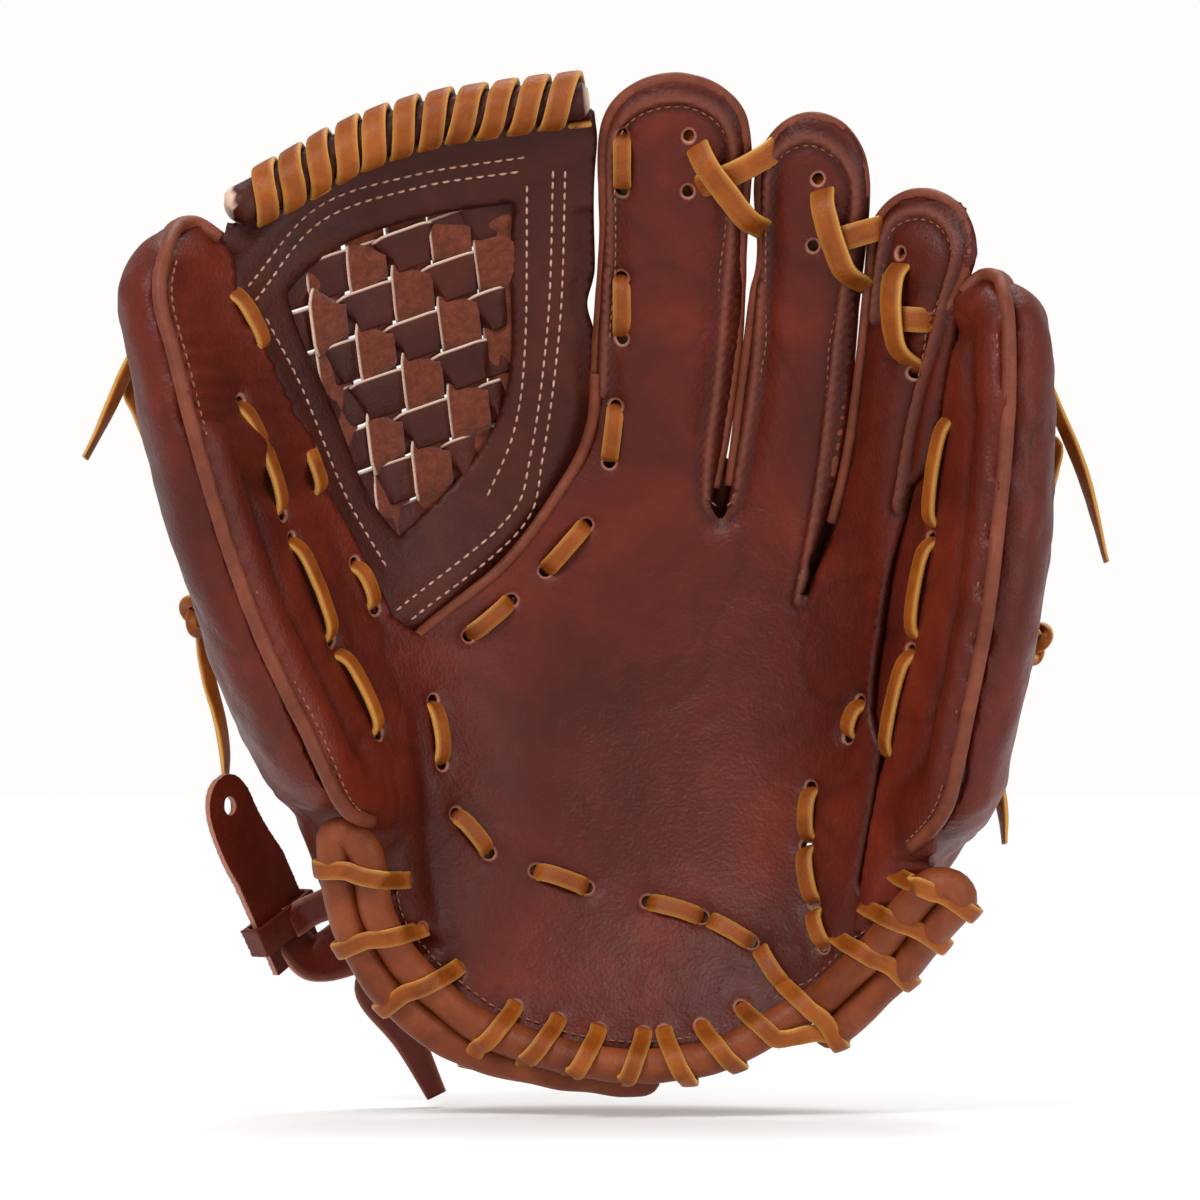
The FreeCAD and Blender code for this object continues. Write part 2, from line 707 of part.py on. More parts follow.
def strap_band(inset, thick, low, high):
    wires = []
    for z in (low, (low + high) / 2, high):
        outer = [Vector(x, y, z) for x, y in strap_arc(inset)]
        inner = [Vector(x, y, z) for x, y in strap_arc(inset + thick)]
        wires.append(ply_wire(outer, inner))
    return loft(wires)


def tongue_frame():
    along = Vector(TONGUE_ALONG)
    out = Vector(TONGUE_OUT)
    along.normalize()
    out = out - along * out.dot(along)
    out.normalize()
    return along, out, along.cross(out)


def tongue_block(start, length, width, thick):
    """A plate in the tongue's own directions, centred on its line, from a distance along it."""
    along, out, side = tongue_frame()
    base = TONGUE_AT + along * start
    corners = [base + side * (s * width / 2) + out * (o * thick / 2)
               for s, o in ((-1, -1), (1, -1), (1, 1), (-1, 1), (-1, -1))]
    return Part.Face(Part.makePolygon(corners)).extrude(along * length)


def strap_tongue():
    """Free end of the wrist strap, pulled through the keeper, with a punched hole near its tip."""
    along, out, _ = tongue_frame()
    plate = tongue_block(-12, TONGUE_LENGTH, TONGUE_WIDTH, TONGUE_THICK)
    at = TONGUE_AT + along * (TONGUE_LENGTH - 12 - 9) - out * 10
    return plate.cut(Part.makeCylinder(TONGUE_HOLE_R, 20, at, out))


def strap_keeper():
    loop = tongue_block(-4, 9, TONGUE_WIDTH + 5.2, TONGUE_THICK + 5.2)
    return loop.cut(tongue_block(-6, 13, TONGUE_WIDTH + 1.6, TONGUE_THICK + 1.6))


# ---- the assembly -------------------------------------------------------------------------------
def heel_between(low, high):
    """The stretch of the heel's edge between two x positions, with its ends cut there."""
    edge_z = smooth(HEEL_EDGE)
    inner = [p for p in HEEL_EDGE if low + 2 < p[0] < high - 2]
    return [(low, edge_z(low))] + inner + [(high, edge_z(high))]


def build():
    heel_gap = 2 * FOLD_GAP
    heel_thumb = heel_between(-64.0, THUMB_FOLD.x - heel_gap)
    heel_centre = heel_between(THUMB_FOLD.x + heel_gap, LITTLE_FOLD.x - heel_gap)
    heel_little = heel_between(LITTLE_FOLD.x + heel_gap, 99)
    rear_rolls = [rear_roll_path(HEEL_EDGE[:8]), rear_roll_path(HEEL_EDGE[9:])]
    arch = [Vector(-12, 37.5, 112), Vector(8, 46, 113), Vector(34, 49, 113.5), Vector(58, 47, 113),
            Vector(78, 37.5, 111)]
    thumb_tail = [Vector(-122, 8, 236), Vector(-134, 8, 219), Vector(-141, 6, 205), Vector(-146, 4, 192)]
    thumb_strand = [Vector(-134, 11, 215), Vector(-127, 11, 195), Vector(-120, 11, 172), Vector(-115, 11, 156)]
    thumb_drop = [Vector(-113, 15, 138), Vector(-111, 19, 126), Vector(-108, 22, 114)]
    little_tail = [Vector(127, 4, 226), Vector(136, 4, 206), Vector(144, 2, 184), Vector(150, 0, 162)]
    little_strand = [Vector(136, 7, 196), Vector(132, 7, 176), Vector(129, 7, 150)]
    little_drop = [Vector(115, 12, 112), Vector(119, 12, 96), Vector(121, 12, 80)]
    strap_end = [Vector(-60, 40, 38), Vector(-57, 40, 26), Vector(-50, 40, 15), Vector(-42, 40, 9)]

    nodes = {
        "palm_shell": slab(0, LEATHER, palm_outline()),
        "palm_felt": slab(LEATHER + 1.4, GLOVE_FELT, pad_outline(0.92)),
        "palm_lining": slab(LEATHER + GLOVE_FELT + 2.4, LINING, pad_outline(1.0)),
        "heel_pad_thumb": heel_pad(lambda z: thumb_panel_rim_x(z) + 4, lambda z: thumb_fold_x(z) - 3, 70, 99),
        "heel_pad_little": heel_pad(lambda z: little_fold_x(z) + 3, lambda z: little_panel_rim_x(z) - 4, 74, 93),
        "thumb_front": stall_front(THUMB, 42),
        "thumb_back": stall_back(THUMB, 46),
        "thumb_welt": stall_welt(THUMB, 104),
        "thumb_stiffener": stall_stiffener(THUMB, 104, 232),
        "thumb_sleeve": stall_sleeve(THUMB, 104, 232),
        "thumb_loop": finger_loop(Vector(-48, 30, 96), 24, 12),
        "little_front": stall_front(LITTLE, 58),
        "little_back": stall_back(LITTLE, 58),
        "little_welt": stall_welt(LITTLE, 91),
        "little_stiffener": stall_stiffener(LITTLE, 98, 220),
        "little_sleeve": stall_sleeve(LITTLE, 98, 220),
        "little_loop": finger_loop(Vector(76, 26, 90), 18, 12),
        "web_frame_front": web_frame(WEB_DEPTH),
        "web_frame_back": web_frame(WEB_DEPTH + 2 * WEB_PLY + 3 * PLY_GAP),
        "web_straps_up": weave(WEB_DEPTH, True),
        "web_straps_across": weave(WEB_DEPTH + WEB_PLY + PLY_GAP, False),
        "web_top_roll": rod(web_roll_path(), WEB_ROLL_RADIUS),
        "web_top_lace": web_top_lace(),
        "web_index_lace": stitch_row(INDEX_WEB_STITCHES),
        "web_thumb_lace": stitch_row(THUMB_WEB_STITCHES),
        "thumb_pad_lace": stitch_row(THUMB_WALL_STITCHES),
        "little_pad_lace": stitch_row(LITTLE_WALL_STITCHES),
        "palm_lace": stitch_row(PALM_STITCHES + LITTLE_SIDE_STITCHES),
        "fingertip_lace": fingertip_lace(),
        "heel_binding": rod(heel_path(heel_centre), ROLL_RADIUS),
        "heel_binding_thumb": rod(heel_path(heel_thumb), ROLL_RADIUS),
        "heel_binding_little": rod(heel_path(heel_little), ROLL_RADIUS),
        "wrist_binding": group([rod(path, ROLL_RADIUS) for path in rear_rolls]),
        "hand_opening_binding": rod(arch, 3.2),
        "heel_lace": heel_coils(heel_centre, 8),
        "heel_lace_thumb": heel_coils(heel_thumb, 3),
        "heel_lace_little": heel_coils(heel_little, 3),
        "wrist_strap": strap_band(0, LEATHER, STRAP_LOW, STRAP_HIGH),
        "strap_fleece": strap_band(LEATHER + 0.6, 5.0, STRAP_LOW + 3, STRAP_HIGH - 3),
        "strap_keeper": strap_keeper(),
        "strap_tongue": strap_tongue(),
        "strap_tail": strip(strap_end, [Vector(0.2, 1, 0)] * 4, 10, 2.2),
        "thumb_lace_ends": group([knot(Vector(-114, 10, 147)), lace_tail(thumb_tail),
                                  lace_tail(thumb_strand), lace_tail(thumb_drop)]),
        "little_lace_ends": group([knot(Vector(129, 6, 139)), lace_tail(little_tail),
                                   lace_tail(little_strand), lace_tail(little_drop)]),
    }
    for name, finger in FINGERS.items():
        nodes[name + "_back"] = finger_back(finger)
        nodes[name + "_sleeve"] = finger_sleeve(finger)
        nodes[name + "_welt"] = finger_welt(finger)
    return nodes


def main():
    os.makedirs(OUT, exist_ok=True)
    for name, shape in build().items():
        solids = [solid.translated(-HAND_OPENING) for solid in shape.Solids]
        if not solids or not all(solid.isValid() and solid.Volume > 0 for solid in solids):
            raise ValueError(name + " is not made of valid solids")
        kept = solids[0] if len(solids) == 1 else Part.makeCompound(solids)
        kept.exportStep(os.path.join(OUT, name + ".step"))


main()
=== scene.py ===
import math

import bpy
import numpy as np
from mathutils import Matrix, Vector
from mathutils.bvhtree import BVHTree
from mathutils.geometry import delaunay_2d_cdt


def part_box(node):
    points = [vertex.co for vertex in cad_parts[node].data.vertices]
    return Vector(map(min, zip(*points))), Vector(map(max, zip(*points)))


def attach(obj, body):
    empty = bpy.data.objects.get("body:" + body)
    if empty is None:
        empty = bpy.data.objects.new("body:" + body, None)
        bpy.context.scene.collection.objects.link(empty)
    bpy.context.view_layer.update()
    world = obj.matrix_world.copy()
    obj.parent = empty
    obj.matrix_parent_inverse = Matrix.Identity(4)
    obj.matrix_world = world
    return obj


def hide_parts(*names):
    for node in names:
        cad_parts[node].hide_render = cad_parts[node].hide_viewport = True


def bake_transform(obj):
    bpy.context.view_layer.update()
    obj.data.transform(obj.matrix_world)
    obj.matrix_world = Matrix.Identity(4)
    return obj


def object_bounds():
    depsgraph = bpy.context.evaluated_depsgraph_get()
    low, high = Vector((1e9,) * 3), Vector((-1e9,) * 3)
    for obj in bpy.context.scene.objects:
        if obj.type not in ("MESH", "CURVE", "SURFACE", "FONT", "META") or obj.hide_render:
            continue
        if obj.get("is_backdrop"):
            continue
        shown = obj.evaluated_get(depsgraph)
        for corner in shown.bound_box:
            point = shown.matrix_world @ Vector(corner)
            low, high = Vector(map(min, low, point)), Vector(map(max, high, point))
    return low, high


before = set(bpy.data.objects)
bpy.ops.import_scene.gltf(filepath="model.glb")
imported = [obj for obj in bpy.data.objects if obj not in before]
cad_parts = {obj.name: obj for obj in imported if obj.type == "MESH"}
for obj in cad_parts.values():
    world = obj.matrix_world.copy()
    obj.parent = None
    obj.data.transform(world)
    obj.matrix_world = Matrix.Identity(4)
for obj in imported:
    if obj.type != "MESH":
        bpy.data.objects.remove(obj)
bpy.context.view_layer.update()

# Everything below works in glove millimetres: x to the little finger, y to the back of the hand and
# z up, measured from the heel of the pocket. The hand opening's place in them ties them to the frame.
HAND_OPENING = np.array((8.0, 28.0, 60.0))

LEATHER = 2.4
WEB_DEPTH = 3.8
WEB_LEATHER = 1.9
WEB_ROLL = 5.8
WEAVE_PITCH = 12.4
STRAP_WIDTH = 12.1
LACE_WIDTH = 5.2
LACE_THICK = 1.9
HEEL_ROLL = 4.6
MIDLINE = 14.0
GRID_STEP = 2.0
TOWARDS_FRONT = np.array((0, -1.0, 0))
# A fold is a point on its line, x, y and z, and how far the line leans in x for each unit of height.
THUMB_FOLD = (-37.5, -16.0, 25.0, -0.14)
LITTLE_FOLD = (72.0, -18.9, 45.0, 0.165)
FOLD_GAP = 1.6
# How far on either side of the thumb's fold bend() places its two points for the front leather and the web.
WIDE_BEND = 7.0
# Two places by each wall, given to stretch() for the leather across the back of the hand and the opening's
# binding.
BACK_BENDS = {"thumb": ((-22, 30, 130), (-58, 30, 130)), "little_finger": ((78, 28, 130), (92, 22, 130))}
WALLS = (("thumb", "thumb"), ("little", "little_finger"))


# ---- numbers ------------------------------------------------------------------------------------
def smoothstep(low, high, value):
    """0 below low and 1 above high, rising smoothly between them."""
    t = np.clip((np.asarray(value, float) - low) / (high - low), 0, 1)
    return t * t * (3 - 2 * t)


def bell(value, width, middle=0.0):
    """1 at the middle, fading smoothly to 0 over about twice the width."""
    return np.exp(-((value - middle) / width) ** 2)


def unit(v):
    v = np.asarray(v, float)
    return v / np.maximum(np.linalg.norm(v, axis=-1, keepdims=True), 1e-9)


LATTICE_SIZE = 24
LATTICE = np.random.default_rng(11).random((LATTICE_SIZE,) * 3)


def noise(points, size):
    """Smooth noise from -1 to 1 with features about this many millimetres across."""
    q = np.asarray(points, float) / size
    base = np.floor(q).astype(int)
    f = q - base
    f = f * f * (3 - 2 * f)
    total = np.zeros(len(q))
    for corner in np.ndindex(2, 2, 2):
        weight = np.where(corner, f, 1 - f).prod(axis=1)
        total += weight * LATTICE[tuple(((base + corner) % LATTICE_SIZE).T)]
    return total * 2 - 1


def creases(points, size):
    """Thin valleys, as in worn leather: 0 on the flat and 1 along a crease."""
    warp = np.stack([noise(points + away, size * 1.6) for away in (31, 57, 83)], axis=1)
    lines = np.clip(1 - np.abs(noise(points + warp * size * 0.5, size)) * 7, 0, 1) ** 1.5
    return lines * smoothstep(-0.15, 0.45, noise(points + 13, size * 2.2))


def spline(points, count):
    """A smooth path through the points, evenly spaced."""
    p = np.asarray(points, float)
    ext = np.vstack([2 * p[0] - p[1], p, 2 * p[-1] - p[-2]])
    out = []
    for k in range(1, len(ext) - 2):
        a, b, c, d = ext[k - 1], ext[k], ext[k + 1], ext[k + 2]
        for t in np.linspace(0, 1, 16, endpoint=False):
            out.append(0.5 * (2 * b + (c - a) * t + (2 * a - 5 * b + 4 * c - d) * t * t
                              + (3 * b - a - 3 * c + d) * t ** 3))
    out.append(p[-1])
    return evenly(np.array(out), count)


def evenly(path, count):
    steps = np.r_[0, np.cumsum(np.linalg.norm(np.diff(path, axis=0), axis=1))]
    at = np.linspace(0, steps[-1], count)
    return np.stack([np.interp(at, steps, path[:, k]) for k in range(path.shape[1])], axis=1)


def spread(values, count):
    """Rows of numbers stretched evenly over a new count of rows."""
    values = np.asarray(values, float)
    at, want = np.linspace(0, 1, len(values)), np.linspace(0, 1, count)
    return np.stack([np.interp(want, at, values[:, k]) for k in range(values.shape[1])], axis=1)


def length(path):
    return float(np.linalg.norm(np.diff(path, axis=0), axis=1).sum())


def inside(points, ring):
    """Which points are inside a closed outline."""
    a, b = ring, np.roll(ring, -1, axis=0)
    found = np.zeros(len(points), bool)
    for (ax, ay), (bx, by) in zip(a, b):
        if ay == by:
            continue
        crosses = (points[:, 1] < ay) != (points[:, 1] < by)
        found ^= crosses & (points[:, 0] < (bx - ax) * (points[:, 1] - ay) / (by - ay) + ax)
    return found


def distance(points, path, closed=False):
    """Distance from each point to a polyline."""
    a = path if closed else path[:-1]
    b = np.roll(path, -1, axis=0) if closed else path[1:]
    best = np.full(len(points), 1e9)
    for p, q in zip(a, b):
        d = q - p
        t = np.clip(((points - p) @ d) / max(d @ d, 1e-12), 0, 1)
        best = np.minimum(best, np.linalg.norm(points - p - t[:, None] * d, axis=1))
    return best


# ---- the frame's shapes ---------------------------------------------------------------------------
def to_frame(points):
    return (np.asarray(points, float) - HAND_OPENING) / 1000


def to_glove(points):
    return np.asarray(points, float) * 1000 + HAND_OPENING


def rows_of(items, key, kind=float):
    """Three numbers from each of a mesh's items."""
    values = np.zeros(len(items) * 3, kind)
    items.foreach_get(key, values)
    return values.reshape(-1, 3)


def cad(name):
    """A CAD node's points in glove millimetres, each once, and its triangles."""
    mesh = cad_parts[name].data
    mesh.calc_loop_triangles()
    points = to_glove(rows_of(mesh.vertices, "co"))
    points, index = np.unique(np.round(points, 3), axis=0, return_inverse=True)
    return points, index.reshape(-1)[rows_of(mesh.loop_triangles, "vertices", int)]


def islands(name):
    """The separate solids of a CAD node, each as its points."""
    points, tris = cad(name)
    label = np.arange(len(points))
    while True:
        low = label[tris].min(axis=1)
        fresh = label.copy()
        for k in range(3):
            np.minimum.at(fresh, tris[:, k], low)
        if (fresh == label).all():
            break
        label = fresh
    return [points[label == k] for k in np.unique(label) if (label == k).sum() > 3]


def along_length(points):
    """How far along a long solid each of its points lies."""
    middle = points.mean(axis=0)
    return (points - middle) @ np.linalg.svd(points - middle)[2][0]


def ends(points):
    """The middle of each end of a long solid."""
    t = along_length(points)
    low = points[t < t.min() + 0.6].mean(axis=0)
    high = points[t > t.max() - 0.6].mean(axis=0)
    return (low, high) if low[2] > high[2] else (high, low)


def tree(name):
    points, tris = cad(name)
    return BVHTree.FromPolygons([Vector(p) for p in points], [tuple(int(i) for i in t) for t in tris])


def outline_of(name, which=0, solid=False):
    """A panel's outline in front view, from the edges of its front face; which=1 is the next largest."""
    points, tris = cad(name)
    a, b, c = (points[tris[:, k]] for k in range(3))
    facing = unit(np.cross(b - a, c - a))[:, 1] < -0.12
    directed = set()
    for t in tris[facing]:
        for k in range(3):
            directed.add((int(t[k]), int(t[(k + 1) % 3])))
    after = {}
    for p, q in directed:
        if (q, p) not in directed:
            after.setdefault(p, []).append(q)
    rings = []
    while after:
        start = next(iter(after))
        ring, at = [start], start
        while True:
            choices = after[at]
            ahead = choices.pop()
            if not choices:
                del after[at]
            if ahead == start or ahead not in after:
                break
            ring.append(ahead)
            at = ahead
        if len(ring) > 6:
            rings.append(points[ring])

    def area(r):
        x, z = r[:, 0], r[:, 2]
        return (x * np.roll(z, -1) - np.roll(x, -1) * z).sum() / 2

    ring = sorted(rings, key=lambda r: -abs(area(r)))[which]
    ring = ring if area(ring) > 0 else ring[::-1]
    return ring if solid else ring[:, [0, 2]]


def fold_x(fold, z):
    return fold[0] + fold[3] * (np.asarray(z, float) - fold[2])


GRID_X = np.arange(-150, 150.1, GRID_STEP)
GRID_Z = np.arange(4, 316.1, GRID_STEP)


def measure_pocket():
    """The pocket face's y over a grid, measured on the CAD panels, and carried on smoothly past them."""
    layers = [(tree("palm_shell"), 0), (tree("thumb_front"), 0), (tree("little_front"), 0),
              (tree("web_frame_front"), WEB_DEPTH), (tree("web_straps_up"), WEB_DEPTH)]
    table = np.full((len(GRID_Z), len(GRID_X)), np.nan)
    for i, z in enumerate(GRID_Z):
        for k, x in enumerate(GRID_X):
            for bvh, depth in layers:
                hit = bvh.ray_cast(Vector((x, -200, z)), Vector((0, 1, 0)))[0]
                if hit is not None:
                    table[i, k] = hit.y - depth
                    break
    good_rows = []
    for i in range(len(GRID_Z)):
        ok = ~np.isnan(table[i])
        if ok.sum() < 8:
            continue
        good_rows.append(i)
        xs, ys = GRID_X[ok], table[i][ok]
        row = np.interp(GRID_X, xs, ys)
        for end, sel in ((0, GRID_X < xs[0]), (-1, GRID_X > xs[-1])):
            step = 3 if end == 0 else -4
            slope = (ys[step] - ys[end]) / (xs[step] - xs[end])
            row[sel] = ys[end] + np.clip(slope, -1.6, 1.6) * (GRID_X[sel] - xs[end])
        table[i] = row
    for i in range(len(GRID_Z)):
        if i not in good_rows:
            near = min(good_rows, key=lambda g: abs(g - i))
            table[i] = table[near]
    padded = np.pad(table, 1, mode="edge")
    return (padded[:-2, 1:-1] + padded[2:, 1:-1] + padded[1:-1, :-2] + padded[1:-1, 2:] + 4 * table) / 8


POCKET = measure_pocket()
SPAN = np.zeros_like(POCKET)
SPAN[:, 1:] = np.cumsum(np.hypot(np.diff(POCKET, axis=1), GRID_STEP), axis=1)
SPAN -= SPAN[:, np.argmin(abs(GRID_X - 4))][:, None]


def look_up(table, x, z):
    i = np.clip((np.asarray(z, float) - GRID_Z[0]) / GRID_STEP, 0, len(GRID_Z) - 1.001)
    k = np.clip((np.asarray(x, float) - GRID_X[0]) / GRID_STEP, 0, len(GRID_X) - 1.001)
    i0, k0 = i.astype(int), k.astype(int)
    up, across = i - i0, k - k0
    return (table[i0, k0] * (1 - up) * (1 - across) + table[i0 + 1, k0] * up * (1 - across)
            + table[i0, k0 + 1] * (1 - up) * across + table[i0 + 1, k0 + 1] * up * across)


def pocket_y(x, z):
    return look_up(POCKET, x, z)


def outward(x, z):
    """Unit vectors out of the pocket's face, towards the front."""
    x, z = np.asarray(x, float), np.asarray(z, float)
    dx = (pocket_y(x + GRID_STEP, z) - pocket_y(x - GRID_STEP, z)) / (2 * GRID_STEP)
    dz = (pocket_y(x, z + GRID_STEP) - pocket_y(x, z - GRID_STEP)) / (2 * GRID_STEP)
    return unit(np.stack([dx, -np.ones_like(dx), dz], axis=-1))


def on_pocket(x, z, lift=0.0):
    """Points on the pocket's face, raised towards the front."""
    x, z = np.atleast_1d(np.asarray(x, float)), np.atleast_1d(np.asarray(z, float))
    face = np.stack([x, pocket_y(x, z), z], axis=1)
    return face + outward(x, z) * np.reshape(lift * np.ones(len(x)), (-1, 1))


def unroll(xz):
    """Front-view points laid flat: distance across the curved face, and height."""
    return np.stack([look_up(SPAN, xz[:, 0], xz[:, 1]), xz[:, 1]], axis=1)


def roll_back(sz):
    """The opposite of unroll."""
    out = np.zeros_like(sz)
    out[:, 1] = sz[:, 1]
    for z in np.unique(sz[:, 1]):
        sel = sz[:, 1] == z
        i = min(max((z - GRID_Z[0]) / GRID_STEP, 0), len(GRID_Z) - 1.001)
        i0 = int(i)
        row = SPAN[i0] * (1 - i + i0) + SPAN[i0 + 1] * (i - i0)
        out[sel, 0] = np.interp(sz[sel, 0], row, GRID_X)
    return out


def piece(name, shape, look, nodes=()):
    """A mesh piece from points in glove millimetres, faces, and the per-point numbers its material reads."""
    points, faces, marks = shape
    mesh = bpy.data.meshes.new(name)
    mesh.from_pydata(to_frame(points).tolist(), [], [tuple(int(i) for i in f) for f in faces])
    for key, values in marks.items():
        mesh.attributes.new(key, "FLOAT", "POINT").data.foreach_set("value", np.asarray(values, np.float32))
    mesh.polygons.foreach_set("use_smooth", [True] * len(mesh.polygons))
    mesh.materials.append(look)
    mesh.validate()
    made = bpy.data.objects.new(name, mesh)
    bpy.context.scene.collection.objects.link(made)
    if nodes:
        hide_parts(*nodes)
    return made


def evaluated(made):
    """Keeps what the object's modifiers make as its own mesh."""
    graph = bpy.context.evaluated_depsgraph_get()
    mesh = bpy.data.meshes.new_from_object(made.evaluated_get(graph))
    made.modifiers.clear()
    made.data = mesh


def baked(made, *settings):
    """Applies modifiers, given as (type, options), and keeps the result as the object's own mesh."""
    for kind, options in settings:
        modifier = made.modifiers.new(kind, kind)
        for key, value in options.items():
            setattr(modifier, key, value)
    bpy.context.view_layer.update()
    evaluated(made)
    made.data.polygons.foreach_set("use_smooth", [True] * len(made.data.polygons))
    return made


def coordinates(made):
    return to_glove(rows_of(made.data.vertices, "co"))


def move_points(made, points):
    made.data.vertices.foreach_set("co", to_frame(points).astype(np.float32).ravel())
    made.data.update()


def mark(made, key, values):
    layer = made.data.attributes.get(key) or made.data.attributes.new(key, "FLOAT", "POINT")
    layer.data.foreach_set("value", np.asarray(values, np.float32))


def joined(parts):
    """Several (points, faces, marks) as one."""
    points, faces, marks, base = [], [], {}, 0
    for p, f, m in parts:
        points.append(p)
        faces += [tuple(i + base for i in face) for face in f]
        for key, values in m.items():
            marks.setdefault(key, []).append(values)
        base += len(p)
    return np.vstack(points), faces, {key: np.concatenate(values) for key, values in marks.items()}


def uneven(shape, amount, size):
    """The same shape with its points shifted a little, so that it looks made by hand."""
    points, faces, marks = shape
    return points + amount * noise(points, size)[:, None], faces, marks


def sweep(path, facing, section, scale=1.0, pale=0.0, depth_scale=None):
    """A section carried along a path; the section's second axis turns towards facing."""
    path = np.asarray(path, float)
    side = unit(np.cross(unit(np.gradient(path, axis=0)), np.broadcast_to(facing, path.shape)))
    out = np.cross(side, unit(np.gradient(path, axis=0)))
    wide = np.broadcast_to(scale, len(path))[:, None, None]
    deep = wide if depth_scale is None else depth_scale
    points = path[:, None, :] + side[:, None, :] * section[None, :, :1] * wide \
        + out[:, None, :] * section[None, :, 1:] * deep
    rows, count = len(path), len(section)
    number = np.arange(rows * count).reshape(rows, count)
    after = np.roll(number, -1, axis=1)
    faces = np.stack([number[:-1], after[:-1], after[1:], number[1:]], axis=2).reshape(-1, 4).tolist()
    faces += [number[0, ::-1].tolist(), number[-1].tolist()]
    return points.reshape(-1, 3), faces, {"pale": np.tile(np.broadcast_to(pale, count), rows)}


def flat_section(width, thick):
    shape = np.array([(-1, -0.35), (-0.9, -0.85), (-0.6, -1), (0, -1.04), (0.6, -1), (0.9, -0.85), (1, -0.35),
                      (1, 0.5), (0.88, 0.95), (0.5, 1.08), (0, 1.1), (-0.5, 1.08), (-0.88, 0.95), (-1, 0.5)])
    pale = (abs(shape[:, 0]) > 0.95) * 1.0 + (abs(abs(shape[:, 0]) - 0.89) < 0.02) * 0.3
    return shape * (width / 2, thick / 2), pale


def round_section(radius, sides=20):
    angle = np.arange(sides) / sides * 2 * math.pi
    return np.stack([np.cos(angle), np.sin(angle)], axis=1) * radius


def lace(path, facing, width=LACE_WIDTH, thick=LACE_THICK, count=None, taper=0.0):
    """A strip of rawhide lace, with its pale cut edges marked. taper is how much narrower it ends."""
    count = count or max(8, int(length(path) / 1.3))
    section, pale = flat_section(width, thick)
    scale = 1 - taper * smoothstep(0.75, 1, np.linspace(0, 1, count))
    return uneven(sweep(spline(path, count), spread(facing, count), section, scale, pale), 0.12, 5.0)


def tube(path, radius, facing=(0, 1, 0), count=None, sides=20, rounded=4):
    """A round roll with domed ends."""
    count = count or max(12, int(length(path) / 1.6))
    scale = np.ones(count)
    for k in range(rounded):
        scale[k] = scale[-1 - k] = math.sqrt(max(0.04, 1 - ((rounded - k) / (rounded + 0.3)) ** 2))
    return sweep(spline(path, count), facing, round_section(radius, sides), scale)


def dashes(path, facing, pitch, radius):
    """A row of thread stitches lying along a path, each filling four sixths of its pitch."""
    count = max(2, int(length(path) / pitch))
    fine = evenly(path, count * 6 + 1)
    facing = spread(facing, len(fine))
    arch = np.sin(np.linspace(0, math.pi, 5))[:, None]
    parts = []
    for k in range(0, count * 6, 6):
        run = fine[k:k + 5] + facing[k:k + 5] * (0.1 + (arch - 0.75) * radius * 1.1)
        parts.append(sweep(run, facing[k:k + 5], round_section(radius, 6), np.clip(0.55 + arch[:, 0], 0, 1)))
    return joined(parts)


def face_dashes(xz, lift, pitch, radius):
    """A row of stitches on the pocket's face, under a line in front view."""
    return dashes(on_pocket(xz[:, 0], xz[:, 1], lift), outward(xz[:, 0], xz[:, 1]), pitch, radius)


def even_ring(points, gap):
    closed = np.vstack([points, points[:1]])
    return evenly(closed, max(8, int(length(closed) / gap)) + 1)[:-1]


def size_of(ring):
    """A ring's middle and how far it reaches from there."""
    middle = ring.mean(axis=0)
    return middle, np.linalg.norm(ring - middle, axis=1).max()


